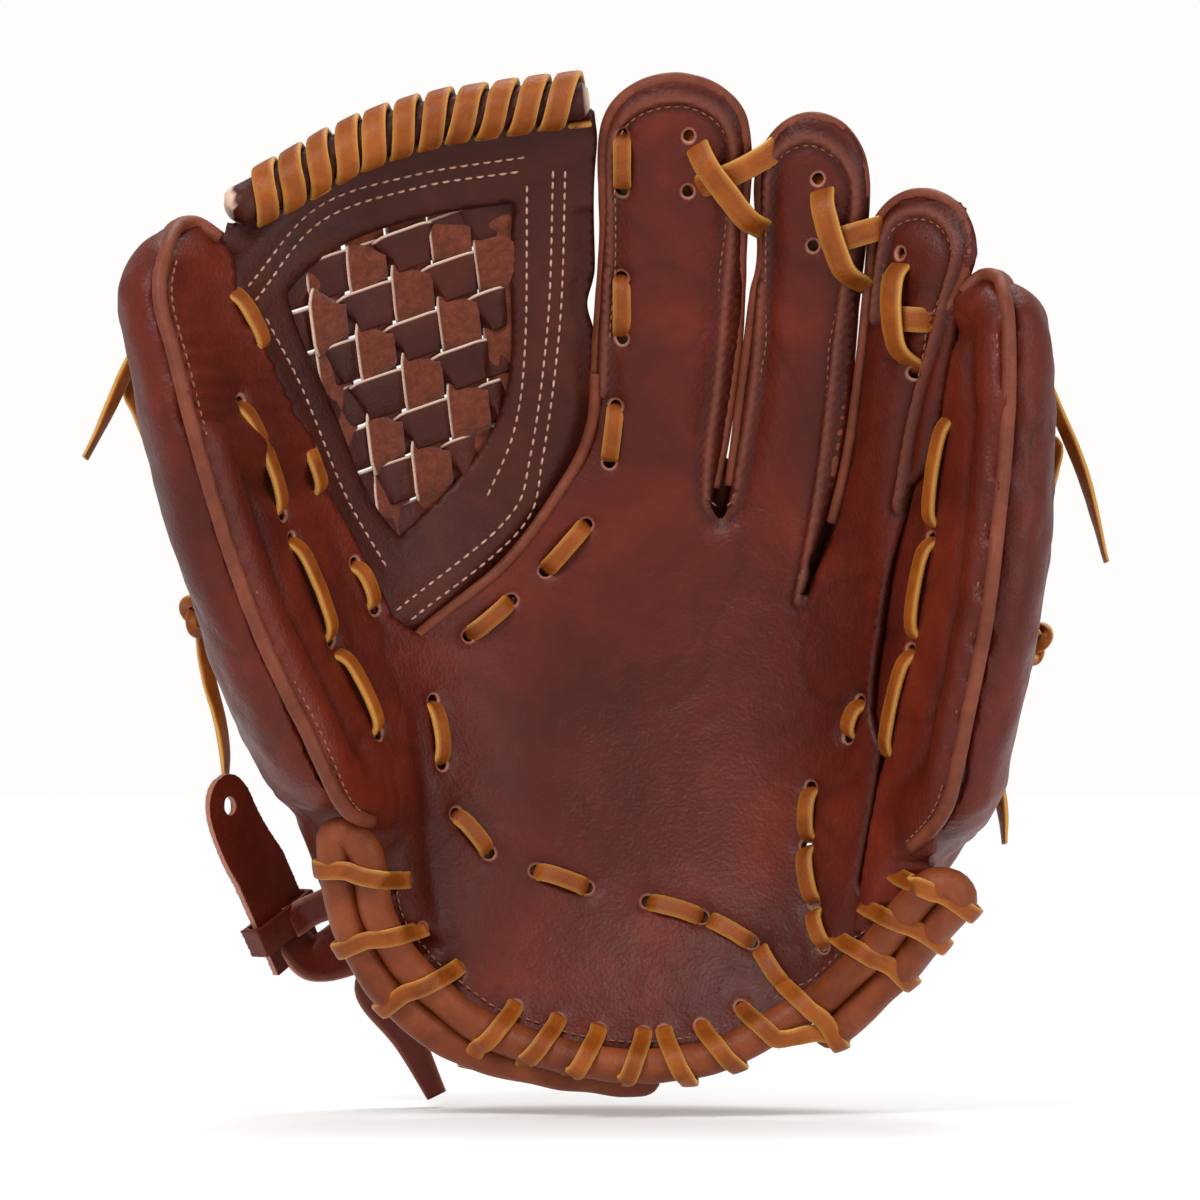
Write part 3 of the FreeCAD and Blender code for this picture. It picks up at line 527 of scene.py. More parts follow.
def panel(name, ring, hole_rings, shape, look, nodes, spacing=1.7, depth=0.0, thick=LEATHER, plain_holes=()):
    """A leather panel lying on the pocket's face: cut to an outline, with holes, and raised by shape()."""
    edge = even_ring(unroll(even_ring(ring, 0.7)), spacing * 0.8)
    cuts = [even_ring(unroll(even_ring(r, 0.5)), 0.8) for r in hole_rings]
    rims = [r + unit(r - r.mean(axis=0)) * 0.9 for r in cuts]
    big = [even_ring(unroll(even_ring(r, 0.7)), spacing * 0.8) for r in plain_holes]
    low, high = edge.min(axis=0), edge.max(axis=0)
    rows = []
    for k, z in enumerate(np.arange(low[1], high[1], spacing * 0.866)):
        s = np.arange(low[0] + (k % 2) * spacing / 2, high[0], spacing)
        rows.append(np.stack([s, np.full(len(s), z)], axis=1))
    filling = np.vstack(rows)
    filling = filling[inside(filling, edge)]
    filling = filling[distance(filling, edge, True) > spacing * 0.55]
    for r in rims + big:
        middle, reach = size_of(r)
        close = np.linalg.norm(filling - middle, axis=1) < reach + 2
        bad = np.zeros(len(filling), bool)
        bad[close] = inside(filling[close], r) | (distance(filling[close], r, True) < spacing * 0.45)
        filling = filling[~bad]
    points, edges = [], []
    for r in [edge] + cuts + big:
        base = sum(len(p) for p in points)
        points.append(r)
        edges += [(base + k, base + (k + 1) % len(r)) for k in range(len(r))]
    flat = np.vstack(points + rims + [filling])
    verts, _, faces = delaunay_2d_cdt([Vector(p) for p in flat], edges, [], 0, 1e-4, False)[:3]
    flat = np.array([tuple(v) for v in verts])
    faces = np.array([f for f in faces if len(f) == 3])
    middle = flat[faces].mean(axis=1)
    keep = inside(middle, edge)
    for r in cuts + big:
        keep &= ~inside(middle, r)
    faces = faces[keep]
    used = np.unique(faces)
    renumber = np.full(len(flat), -1)
    renumber[used] = np.arange(len(used))
    flat, faces = flat[used], renumber[faces]
    turn = np.cross(flat[faces[:, 1]] - flat[faces[:, 0]], flat[faces[:, 2]] - flat[faces[:, 0]])
    faces[turn < 0] = faces[turn < 0][:, ::-1]
    xz = roll_back(flat)
    rise, marks = shape(flat, xz, edge)
    holes_near = np.full(len(flat), 9.0)
    for r in cuts:
        middle, reach = size_of(r)
        near = np.linalg.norm(flat - middle, axis=1) < reach + 3
        if near.any():
            holes_near[near] = np.minimum(holes_near[near], distance(flat[near], r, True))
    rise = rise - 0.5 * (1 - smoothstep(0, 2.2, holes_near))
    marks["pale"] = np.maximum(marks.get("pale", 0), 0.75 * (1 - smoothstep(0.0, 0.8, holes_near)))
    made = piece(name, (on_pocket(xz[:, 0], xz[:, 1], rise - depth), faces, marks), look, nodes)
    return baked(made, ("SOLIDIFY", {"thickness": thick / 1000, "offset": -1.0, "use_even_offset": False}))


def puffed(made, most):
    """Swells a closed mesh with a short pressurised cloth simulation, each point moving at most this far."""
    before = coordinates(made)
    cloth = made.modifiers.new("cloth", "CLOTH")
    cloth.settings.quality = 5
    cloth.settings.use_pressure = True
    cloth.settings.uniform_pressure_force = 4.0
    cloth.settings.effector_weights.gravity = 0.0
    cloth.collision_settings.use_collision = False
    cloth.point_cache.frame_start = 1
    cloth.point_cache.frame_end = 20
    for k in range(1, 21):
        bpy.context.scene.frame_set(k)
    evaluated(made)
    bpy.context.scene.frame_set(1)
    shift = coordinates(made) - before
    size = np.linalg.norm(shift, axis=1, keepdims=True)
    move_points(made, before + shift * np.minimum(1.0, most / np.maximum(size, 1e-6)))


def worn(name, source, look, body, voxel=1.1, smooth=3, lump=0.35, crease=0.3, size=20.0, flat_way=None,
         puff=0.0):
    """Soft goods grown from a CAD node: rounded edges, gentle lumps and creases, in the same place.

    puff is how far, at most, a cloth simulation swells them first."""
    made = piece(name, (*cad(source), {}), look, [source])
    simulated = puff > 0 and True
    step = voxel * (1.6 if simulated else 1.0)
    # The remesh would tear thin shells, so they are thickened before it and drawn in again after it.
    grown = 0.55 * step + 0.25
    move_points(made, coordinates(made) + rows_of(made.data.vertices, "normal") * grown)
    remesh = ("REMESH", {"mode": "VOXEL", "voxel_size": step / 1000})
    if simulated:
        baked(made, remesh)
        puffed(made, puff)
        baked(made, ("SUBSURF", {"levels": 1}), ("SMOOTH", {"factor": 0.5, "iterations": smooth}))
    else:
        baked(made, remesh, ("SMOOTH", {"factor": 0.6, "iterations": smooth}))
    p, n = coordinates(made), rows_of(made.data.vertices, "normal")
    rise = lump * noise(p, size) + lump * 0.5 * noise(p, size / 2.7) - crease * creases(p, size)
    move_points(made, p + n * (rise - 0.85 * grown)[:, None])
    # Painted shade along the creases.
    mark(made, "shade", 0.4 * creases(p, size))
    if flat_way is not None:
        mark(made, "pale", 0.55 * smoothstep(0.75, 0.45, np.abs(n @ unit(flat_way))))
    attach(made, body)
    return made


# ---- finishes -------------------------------------------------------------------------------------
def wire(tree_, *links):
    """Links nodes, each link given as (node, output, node, input)."""
    for source, output, target, socket in links:
        tree_.links.new(source.outputs[output], target.inputs[socket])


def node(tree_, kind, at, **inputs):
    made = tree_.nodes.new(kind)
    made.location = at
    for key, value in inputs.items():
        made.inputs[key.replace("_", " ")].default_value = value
    return made


def colour(r, g, b):
    """Screen colour, 0 to 255, as the linear values and opacity that shaders use."""
    return (*((c / 255 / 12.92) if c < 10.3 else ((c / 255 + 0.055) / 1.055) ** 2.4 for c in (r, g, b)), 1)


def finish(name, deep, base, light, edge, patch, grain, bump, rough, fibre=0.0):
    """Procedural leather: mottled colour, fine grain, painted shade where the shade mark is set, and pale
    where it is cut.
    """
    material = bpy.data.materials.new(name)
    material.use_nodes = True
    t = material.node_tree
    t.nodes.clear()
    out = node(t, "ShaderNodeOutputMaterial", (900, 0))
    shader = node(t, "ShaderNodeBsdfPrincipled", (600, 0))
    where = node(t, "ShaderNodeTexCoord", (-1100, 0))
    mottle = node(t, "ShaderNodeTexNoise", (-850, 200), Scale=patch, Detail=6.0, Roughness=0.62,
                  Distortion=0.6)
    ramp = node(t, "ShaderNodeValToRGB", (-600, 200))
    ramp.color_ramp.elements[0].position = 0.24
    ramp.color_ramp.elements[0].color = colour(*deep)
    ramp.color_ramp.elements[1].position = 0.78
    ramp.color_ramp.elements[1].color = colour(*light)
    ramp.color_ramp.elements.new(0.52).color = colour(*base)
    shade = node(t, "ShaderNodeAttribute", (-850, -80))
    shade.attribute_name = "shade"
    pale = node(t, "ShaderNodeAttribute", (-850, -260))
    pale.attribute_name = "pale"
    # A dark copy of the deepest tone, mixed in by the shade mark: painted shade in creases, valleys and
    # hollows.
    painted_shade = node(t, "ShaderNodeMixRGB", (-250, 160), Color2=(*[c * 0.45 for c in colour(*deep)[:3]], 1))
    raw = node(t, "ShaderNodeMixRGB", (0, 120), Color2=colour(*edge))
    pores = node(t, "ShaderNodeTexVoronoi", (-850, -450), Scale=grain)
    folds = node(t, "ShaderNodeTexNoise", (-850, -650), Scale=grain * 0.22, Detail=8.0, Roughness=0.65,
                 Distortion=1.2)
    mixed = node(t, "ShaderNodeMath", (-550, -500))
    mixed.operation = "MULTIPLY_ADD"
    mixed.inputs[1].default_value = 0.35
    bumps = node(t, "ShaderNodeBump", (200, -400), Strength=bump, Distance=0.0006)
    gloss = node(t, "ShaderNodeMapRange", (-250, -200), To_Min=rough - 0.1, To_Max=rough + 0.14)
    for texture in (mottle, pores, folds):
        wire(t, (where, "Object", texture, "Vector"))
    wire(t, (mottle, "Fac", ramp, "Fac"), (ramp, "Color", painted_shade, "Color1"), (shade, "Fac", painted_shade, "Fac"),
         (painted_shade, "Color", raw, "Color1"), (pale, "Fac", raw, "Fac"), (raw, "Color", shader, "Base Color"),
         (pores, "Distance", mixed, 0), (folds, "Fac", mixed, 2), (mixed, "Value", bumps, "Height"),
         (bumps, "Normal", shader, "Normal"), (folds, "Fac", gloss, "Value"),
         (gloss, "Result", shader, "Roughness"), (shader, "BSDF", out, "Surface"))
    shader.inputs["Specular IOR Level"].default_value = 0.2
    if fibre:
        shader.inputs["Sheen Weight"].default_value = fibre
        shader.inputs["Sheen Roughness"].default_value = 0.45
    return material


GLOVE = finish("glove_leather_worn", (54, 12, 4), (82, 24, 11), (110, 37, 20),
               edge=(186, 128, 106), patch=20, grain=900, bump=0.5, rough=0.4)
WEB = finish("web_leather_dark", (40, 10, 4), (60, 19, 9), (80, 29, 15),
             edge=(222, 190, 170), patch=30, grain=1000, bump=0.4, rough=0.46)
SUEDE = finish("web_strap_suede", (74, 32, 18), (98, 46, 29), (120, 60, 40),
               edge=(222, 188, 168), patch=420, grain=1500, bump=0.7, rough=0.85, fibre=0.2)
WELT = finish("welt_leather_brown", (78, 34, 20), (104, 50, 32), (126, 64, 44),
              edge=(190, 150, 125), patch=60, grain=1100, bump=0.4, rough=0.48)
LACE = finish("lace_rawhide_tan", (96, 42, 6), (130, 64, 13), (156, 84, 25),
              edge=(194, 140, 66), patch=60, grain=1400, bump=0.4, rough=0.42)
BINDING = finish("binding_leather_tan", (78, 32, 12), (112, 52, 24), (138, 70, 36),
                 edge=(200, 150, 110), patch=45, grain=1100, bump=0.4, rough=0.42)
LINING = finish("lining_leather_pale", (150, 106, 72), (176, 130, 92), (196, 152, 112),
                edge=(214, 180, 150), patch=40, grain=900, bump=0.35, rough=0.66)
FELT = finish("felt_brown_wool", (52, 30, 20), (70, 42, 28), (88, 56, 40),
              edge=(100, 70, 52), patch=220, grain=1800, bump=0.8, rough=0.9, fibre=0.5)
FLEECE = finish("fleece_cream_pile", (196, 180, 152), (216, 202, 176), (232, 220, 198),
                edge=(226, 214, 190), patch=260, grain=700, bump=1.0, rough=0.95, fibre=0.8)
THREAD = finish("thread_pale_waxed", (150, 110, 92), (180, 138, 118), (204, 164, 142),
                edge=(204, 164, 142), patch=300, grain=2600, bump=0.4, rough=0.6)
BROWN_THREAD = finish("thread_brown_waxed", (110, 62, 40), (136, 82, 56), (160, 104, 74),
                      edge=(160, 104, 74), patch=300, grain=2600, bump=0.4, rough=0.6)


# ---- front leather --------------------------------------------------------------------------------
def centre_line(points, values, bins):
    """The middle of a roll, from the mean of its points in each bin of a value that grows along it."""
    edges = np.linspace(values.min() - 1e-6, values.max() + 1e-6, bins + 1)
    out = []
    for k in range(bins):
        sel = (values >= edges[k]) & (values <= edges[k + 1])
        if sel.sum() > 5:
            out.append(points[sel].mean(axis=0))
    return np.array(out)


def heel_angle(points):
    return np.arctan2(points[:, 0] - 12, 140 - points[:, 2])


def heel_line(name, bins):
    points = cad(name)[0]
    return centre_line(points, heel_angle(points), bins)


rear = sorted(islands("wrist_binding"), key=lambda q: q[:, 0].mean())
rear_left = centre_line(rear[0], heel_angle(rear[0]), 12)
rear_right = centre_line(rear[1], heel_angle(rear[1]), 8)
front_path = spline(np.vstack([heel_line("heel_binding_thumb", 6), heel_line("heel_binding", 14),
                               heel_line("heel_binding_little", 5)]), 240)
split = int(np.argmin(abs(front_path[:, 0] - MIDLINE)))


def nearest(path, point):
    """Which of a path's points lies nearest."""
    return int(np.argmin(np.linalg.norm(path - point, axis=1)))


def heel_turns():
    """Each turn of the heel's lace: where it crosses the roll, the way in, its slant and its hole."""
    turns = islands("heel_lace_thumb") + islands("heel_lace") + islands("heel_lace_little")
    out = []
    for turn in sorted(turns, key=lambda q: float(heel_angle(q).mean())):
        i = min(max(nearest(front_path, turn.mean(axis=0)), 3), len(front_path) - 4)
        at = front_path[i]
        along = unit(front_path[i + 3] - front_path[i - 3])
        into = np.array((-along[2], 0, along[0]))
        into = unit(into if into @ (np.array((12, 0, 140)) - at * (1, 0, 1)) > 0 else -into)
        slide = along * (2.8 if at[0] < MIDLINE else -2.8)
        out.append((at, into, slide, at + into * (HEEL_ROLL + 4.9) + slide * 1.2))
    return out


HEEL_TURNS = heel_turns()


def tuck_into_heel(ring, reach=16.0, gain=9.0):
    """Carries a panel's lower edge on into the bound heel roll."""
    out = ring.copy()
    path = front_path[:, [0, 2]]
    for k, p in enumerate(ring):
        gaps = np.linalg.norm(path - p, axis=1)
        i = int(np.argmin(gaps))
        if gaps[i] < reach:
            out[k] = p + (path[i] - p) / max(gaps[i], 1e-6) * min(gain, gaps[i] - 1.5) \
                * float(smoothstep(reach, reach - 2.5, gaps[i]))
    return out


def open_ring(ring, fold, side):
    """A ring's points in order, without the run that lies along a fold."""
    near = np.abs(ring[:, 0] - fold_x(fold, ring[:, 1]) - side * FOLD_GAP) < 0.7
    starts = [k for k in range(len(ring)) if near[k - 1] and not near[k]]
    best = max(starts, key=lambda k: np.argmax(np.roll(near, -k)) if np.roll(near, -k).any() else 0)
    rolled, flags = np.roll(ring, -best, axis=0), np.roll(near, -best)
    return rolled[:int(np.argmax(flags))]


PALM_RING = outline_of("palm_shell")
THUMB_RING = outline_of("thumb_front")
LITTLE_RING = outline_of("little_front")
FRONT_RING = np.vstack([open_ring(PALM_RING, THUMB_FOLD, 1), open_ring(THUMB_RING, THUMB_FOLD, -1)])
FRONT_RING = tuck_into_heel(FRONT_RING)
WEB_RING, WINDOW_RING = outline_of("web_frame_front", 0), outline_of("web_frame_front", 1)


def under_the_edges(ring, reach=6.5):
    """The web's border carried on under the leather either side of it."""
    ring = evenly(np.vstack([ring, ring[:1]]), 200)[:-1]
    way = np.roll(ring, -1, axis=0) - np.roll(ring, 1, axis=0)
    away = unit(np.stack([way[:, 1], -way[:, 0]], axis=1))
    slivers = 2.6 * np.clip(np.sin(ring[:, 1] / 9.0 + 0.6), 0, 1) ** 4
    beside_index = smoothstep(208, 216, ring[:, 1]) * (ring[:, 0] > -30) * slivers
    top = 1.5 * smoothstep(0.5, 0.8, away[:, 1])
    beside_palm = 4.0 * smoothstep(220, 205, ring[:, 1]) * (away[:, 0] > 0)
    return ring + away * (reach + beside_palm - beside_index - top)[:, None]


WEB_RING = under_the_edges(WEB_RING)

# Raised seams on the fingers, in front view: up each right side, over the tip and down the left.
INDEX_SEAM = [(37.3, 176), (34.3, 180), (34.8, 196), (37.3, 214), (39.6, 240), (41.2, 262), (41.3, 281),
              (37, 290.5), (26, 295), (13, 292), (6.6, 283), (5.6, 262), (4.6, 238), (3.6, 211)]
MIDDLE_SEAM = [(60.9, 150.8), (66.1, 180), (70.5, 214), (73, 236), (76, 258), (76.2, 272), (70, 281),
               (62, 284), (54, 280), (50.6, 271), (49.8, 246), (47.4, 212), (41.6, 181), (38.4, 175.5)]
RING_SEAM = [(88, 178), (93.5, 208), (101, 236), (104.6, 251), (101, 259.5), (94, 262.5), (86.5, 259.5),
             (83.5, 250), (81.5, 232)]
SEAMS = [INDEX_SEAM, MIDDLE_SEAM, RING_SEAM]
SURFACE_LACES = ["web_index_lace", "web_thumb_lace", "thumb_pad_lace", "little_pad_lace", "palm_lace",
                 "fingertip_lace"]
STITCH_ENDS = {name: [ends(p) for p in islands(name)] for name in SURFACE_LACES}


def seam_path(points):
    return spline(points, 90)


def face_line(a, b):
    """A run of lace as it lies on the flattened face."""
    return unroll(np.array([a[[0, 2]], b[[0, 2]]]))


def lace_holes(ring, margin=3.4):
    """Round holes in a panel wherever a run of lace goes through it."""
    spots = []
    for runs in STITCH_ENDS.values():
        for a, b in runs:
            along = unit((b - a)[[0, 2]])
            spots += [a[[0, 2]] - along * 0.7, b[[0, 2]] + along * 0.7]
    spots += [turn[3][[0, 2]] for turn in HEEL_TURNS]
    holes, flat_ring = [], unroll(ring)
    turn = np.arange(14) / 14 * 2 * math.pi
    for at in spots:
        flat = unroll(at[None])
        if not inside(flat, flat_ring)[0] or distance(flat, flat_ring, True)[0] < margin:
            continue
        if any(np.linalg.norm(at - h.mean(axis=0)) < 5.2 for h in holes):
            continue
        squeeze = min(1.0, max(0.35, -outward(at[0], at[1])[1]))
        holes.append(at + np.stack([np.cos(turn) * 1.9 * squeeze, np.sin(turn) * 1.8], axis=1))
    return holes


def seam_rise(flat, path):
    """A sewn ridge with a groove on either side, and each point's distance from it."""
    d = distance(flat, path)
    return 1.7 * bell(d, 1.25) - 0.7 * bell(d, 0.9, 2.6), d


def outer_rim(ring, beyond):
    """The outer edge of a wall, from low to high, laid flat."""
    rim = ring[beyond]
    return unroll(rim[np.argsort(rim[:, 1])])


def palm_shape(flat, xz, edge):
    x, z = xz[:, 0], xz[:, 1]
    points = on_pocket(x, z)
    large, fine = creases(points, 24), creases(points, 9) * smoothstep(200, 140, z)
    rise = 0.9 * noise(points, 46) + 0.3 * noise(points, 17) - 0.32 * large - 0.3 * fine
    # Painted shade in the creases.
    shade = 0.3 * large + 0.18 * fine
    d_edge = distance(flat, edge, True)
    fingers = smoothstep(150, 215, z) * smoothstep(-8, 2, x)
    best = np.full(len(x), 99.0)
    for seam in SEAMS:
        r, d = seam_rise(flat, unroll(seam_path(seam)))
        rise = rise + r
        best = np.minimum(best, d)
    # Painted shade in the grooves beside the seams.
    shade = shade + 0.6 * bell(best, 1.1, 2.6)
    crown = fingers * smoothstep(1.5, 9, best) * smoothstep(1.0, 8, d_edge)
    curl = 1 - np.sqrt(np.clip(1 - (1 - np.clip(d_edge / 5.5, 0, 1)) ** 2, 0, 1))
    free = smoothstep(150, 175, z) * smoothstep(-6, 0, x)
    rise = rise + 1.9 * crown - 2.3 * curl * free
    # The thumb's padded wall: a full bolster inside the rim, then the valley its lacing pulls down, with
    # painted shade in that valley.
    wall = smoothstep(-55, -66, x) * smoothstep(92, 112, z)
    beyond = THUMB_RING[:, 0] < fold_x(THUMB_FOLD, THUMB_RING[:, 1]) - 22
    d_rim = distance(flat, outer_rim(THUMB_RING, beyond))
    bolster = 3.4 * np.sin(np.clip(d_rim / 17, 0, 1) * math.pi) - 0.4
    rise = rise + wall * (bolster - 1.6 * bell(d_rim, 3.4, 20))
    shade = shade + 0.4 * bell(d_rim, 3.6, 20) * wall
    # The palm drops into the pocket, with painted shade deepening towards its middle and along the panel's
    # edge; the lacing round it gathers the leather, with painted shade in its grooves.
    deep = np.exp(-(((x - 12) / 46) ** 2 + ((z - 108) / 52) ** 2))
    shade = shade + 0.12 * deep + 0.3 * bell(d_edge, 1.3)
    for name in ("palm_lace", "web_index_lace", "thumb_pad_lace"):
        for a, b in STITCH_ENDS[name]:
            d = distance(flat, face_line(a, b))
            rise = rise - 0.9 * bell(d, 3.6)
            shade = shade + 0.22 * bell(d, 4.2)
    # The leather dips beside the little finger's fold, with painted shade there.
    side, below_tip = x - fold_x(LITTLE_FOLD, z), smoothstep(236, 222, z)
    rise = rise - 0.7 * smoothstep(-2.5, 0.8, side) ** 2 * below_tip
    shade = shade + 0.25 * smoothstep(-3, 0.8, side) * below_tip
    # A soft dip along the thumb's fold low down, with painted shade in it.
    d = distance(flat, unroll(np.array([(fold_x(THUMB_FOLD, k), k) for k in (36.0, 60.0, 90.0, 120.0)])))
    soft = smoothstep(136, 100, z)
    rise = rise - 1.4 * soft * bell(d, 4)
    shade = shade + 0.35 * soft * bell(d, 5)
    return rise, {"shade": np.clip(shade, 0, 1), "pale": 0.16 * bell(best, 1.1)}


def little_shape(flat, xz, edge):
    x, z = xz[:, 0], xz[:, 1]
    points = on_pocket(x, z)
    large = creases(points, 22)
    beyond = LITTLE_RING[:, 0] > fold_x(LITTLE_FOLD, LITTLE_RING[:, 1]) + 6
    d_rim = distance(flat, outer_rim(LITTLE_RING, beyond))
    wall = smoothstep(84, 108, z)
    valley = bell(d_rim, 3, 16.5)
    rise = 0.5 * noise(points, 40) + 0.3 * noise(points, 15) - 0.3 * large
    rise = rise + wall * (3.2 * np.sin(np.clip(d_rim / 14, 0, 1) * math.pi) - 0.3 - 1.3 * valley)
    for a, b in STITCH_ENDS["little_pad_lace"]:
        rise = rise - 0.8 * bell(distance(flat, face_line(a, b)), 3.4)
    past = x - fold_x(LITTLE_FOLD, z)
    rise = rise - 3.1 * smoothstep(2.1, 0.5, past)
    # Painted shade in the creases, in the lacing's valley and where the edge tucks under the palm leather.
    shade = 0.25 * large + 0.4 * wall * valley + 0.2 * smoothstep(2.4, 0.5, past)
    return rise, {"shade": np.clip(shade, 0, 1)}


def stretch(made, wing, start, end):
    """Keeps a piece's placement as its own mesh and does not bend it; wing, start and end are not used."""
    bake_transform(made)


def bend(made, wing, reach=6.0):
    """Sets two places across a wall's fold, square to it and this far on either side, and hands them to
    stretch(), which does not bend the piece.
    """
    fold = THUMB_FOLD if wing == "thumb" else LITTLE_FOLD
    way = unit(np.array((1.0, 0.0, -fold[3]))) * (1 if fold[0] > 0 else -1)
    at = np.array(fold[:3])
    stretch(made, wing, at - way * reach, at + way * reach)


right_edge = np.abs(FRONT_RING[:, 0] - fold_x(LITTLE_FOLD, FRONT_RING[:, 1]) + FOLD_GAP) < 2.2
right_edge &= (FRONT_RING[:, 1] < 236) & (FRONT_RING[:, 1] > 44)
FRONT_RING[right_edge, 0] = fold_x(LITTLE_FOLD, FRONT_RING[right_edge, 1]) + 0.6
bend(panel("palm_leather", FRONT_RING, lace_holes(FRONT_RING), palm_shape, GLOVE,
           ["palm_shell", "thumb_front"]), "thumb", WIDE_BEND)

tucked = LITTLE_RING.copy()
inner_edge = np.abs(tucked[:, 0] - fold_x(LITTLE_FOLD, tucked[:, 1]) - FOLD_GAP) < 0.8
tucked[inner_edge, 0] -= 8.0
tucked = tuck_into_heel(tucked)
bend(panel("little_leather", tucked, lace_holes(LITTLE_RING), little_shape, GLOVE, ["little_front"],
           spacing=1.3), "little_finger", 5.0)

# ---- finger and wall backs --------------------------------------------------------------------------
SLEEVE = {"voxel": 0.7, "smooth": 2, "lump": 0.2, "crease": 0.1, "size": 14}
PAD = {"lump": 0.3, "crease": 0.0, "size": 9}
for name in ("index", "middle", "ring"):
    worn(name + "_back_leather", name + "_back", GLOVE, "palm", lump=0.8, crease=0.4, size=17, puff=1.2)
    worn(name + "_sleeve_lining", name + "_sleeve", LINING, "palm", **SLEEVE)
for name, wing in WALLS:
    worn(name + "_back_leather", name + "_back", GLOVE, wing, lump=1.0, crease=0.45, size=19, puff=1.2)
    worn(name + "_wall_felt", name + "_stiffener", FELT, wing, voxel=1.0, smooth=2, **PAD)
    worn(name + "_sleeve_lining", name + "_sleeve", LINING, wing, **SLEEVE)
    worn(name + "_loop_leather", name + "_loop", GLOVE, wing, **(SLEEVE | {"size": 10}))
    worn(name + "_heel_pad", "heel_pad_" + name, FELT, wing, voxel=1.2, smooth=4, puff=1.5, **PAD)
worn("palm_felt_pad", "palm_felt", FELT, "palm", voxel=1.4, puff=0.8, **PAD)
worn("palm_lining_leather", "palm_lining", LINING, "palm", voxel=0.8, smooth=2, lump=0.3, crease=0.2, size=16)


# ---- piping and stitches along the seams ------------------------------------------------------------
def rolled_seam(name, path, radius, body, nodes, tail=1.0):
    """A leather cord sewn into a seam. tail draws it out backwards, into the seam between two walls."""
    section = round_section(radius, 16)
    behind = np.clip(section[:, 1] / radius, 0, 1)
    section = section * np.stack([1 - 0.35 * behind * (tail > 1), np.where(behind > 0, tail, 1.0)], axis=1)
    cord = sweep(spline(path, max(20, int(length(path) / 1.5))), (0, 1, 0.02), section)
    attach(piece(name, uneven(cord, 0.12, 5), WELT, nodes), body)


def wall_rim(name):
    """A wall panel's outer edge, from low on the rim up and over the tip."""
    ring = outline_of(name, 0, True)
    top = int(np.argmax(ring[:, 2]))
    ring = np.roll(ring, -top, axis=0)
    if name.startswith("thumb"):
        run, far_side = ring, ring[::-1]
    else:
        run, far_side = ring[::-1], ring
    foot = 88 if name.startswith("thumb") else 80
    down = [p for p in run[:len(run) // 2 + 10] if p[2] > foot - 3]
    last = next((k for k in range(1, len(down)) if down[k][2] < foot), len(down))
    over = [p for p in far_side[:14] if p[2] > ring[0][2] - 5]
    return np.array(over[::-1][:-1] + down[:last])


SLIT = [(38.2, 176), (42.0, 209), (45.0, 245), (47.0, 300)]
SLIT_TWO = [(62.5, 150), (70.5, 180), (75.5, 209), (78.8, 241), (80.8, 300)]


def finger_edge(which):
    """A finger's part of the palm panel's edge, between the slits beside it."""
    ring = outline_of("palm_shell", 0, True)
    x, z = ring[:, 0], ring[:, 2]
    first, second = (np.interp(z, [q[1] for q in slit], [q[0] for q in slit]) for slit in (SLIT, SLIT_TWO))
    sel = {"index": (x < first) & (z > 180) & (x > -4), "middle": (x > first) & (x < second) & (z > 181),
           "ring": (x > second) & (z > 170)}[which]
    start = next(k for k in range(len(ring)) if sel[k] and not sel[k - 1])
    return np.roll(ring, -start, axis=0)[:int(np.argmin(np.roll(sel, -start)))]


for name in ("index", "middle", "ring"):
    edge_path = finger_edge(name)
    inward = unit((edge_path.mean(axis=0) - edge_path) * (1, 0, 1))
    edge_path = evenly(edge_path + np.array((0, 3.4, 0)) + inward * 0.4, 60)
    rolled_seam(name + "_seam_piping", edge_path, 1.7, "palm", [name + "_welt"])
for name, wing in WALLS:
    rim_path = wall_rim(name + "_front")
    cord = spline(evenly(rim_path, 26), 160)
    outer = unit((cord - outline_of(name + "_front", 0, True).mean(axis=0)) * (1, 0, 0.35))
    cord = cord + outer - np.array((0, 1.8, 0))
    rolled_seam(name + "_seam_piping", cord, 2.1, wing, [name + "_welt"], tail=3.6)
    row = spline(evenly(rim_path, 60), 200)[:, [0, 2]]
    row = row[row[:, 1] < row[:, 1].max() - 10] + (2.6 if name == "thumb" else -2.6, 0)
    shape = dashes(np.stack([row[:, 0], pocket_y(row[:, 0], row[:, 1]) - 1.1, row[:, 1]], axis=1),
                   outward(row[:, 0], row[:, 1]), pitch=2.8, radius=0.3)
    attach(piece(name + "_rim_stitching", shape, BROWN_THREAD), wing)
heel_row = front_path[10:208]
heel_way = unit(np.gradient(heel_row, axis=0))
heel_row = heel_row[:, [0, 2]] + np.stack([-heel_way[:, 2], heel_way[:, 0]], axis=1) * (HEEL_ROLL + 2.2)
seam_threads = [face_dashes(heel_row, 0.2, 2.8, 0.3)]
for seam in SEAMS:
    line = seam_path(seam)
    seam_threads.append(face_dashes(line + unit(line.mean(axis=0) - line) * 2.4, 0.0, 2.7, 0.26))
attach(piece("finger_seam_stitching", joined(seam_threads), BROWN_THREAD), "palm")


# ---- web --------------------------------------------------------------------------------------------
WEB_LINES = [
    [(-95, 241), (-77, 263), (-50, 272), (-17.5, 277)],
    [(-93, 237), (-76, 259), (-49, 268.5), (-19.5, 273)],
    [(-18, 269), (-18.5, 225), (-21.5, 200), (-29.5, 180)],
    [(-10.5, 273), (-12, 231), (-17, 192.5), (-24, 174), (-54, 148)],
    [(-7, 273), (-8.5, 231), (-13.5, 192), (-20, 171), (-50, 145.5)],
    [(-90, 232), (-80, 212), (-68, 182), (-56, 160)],
]


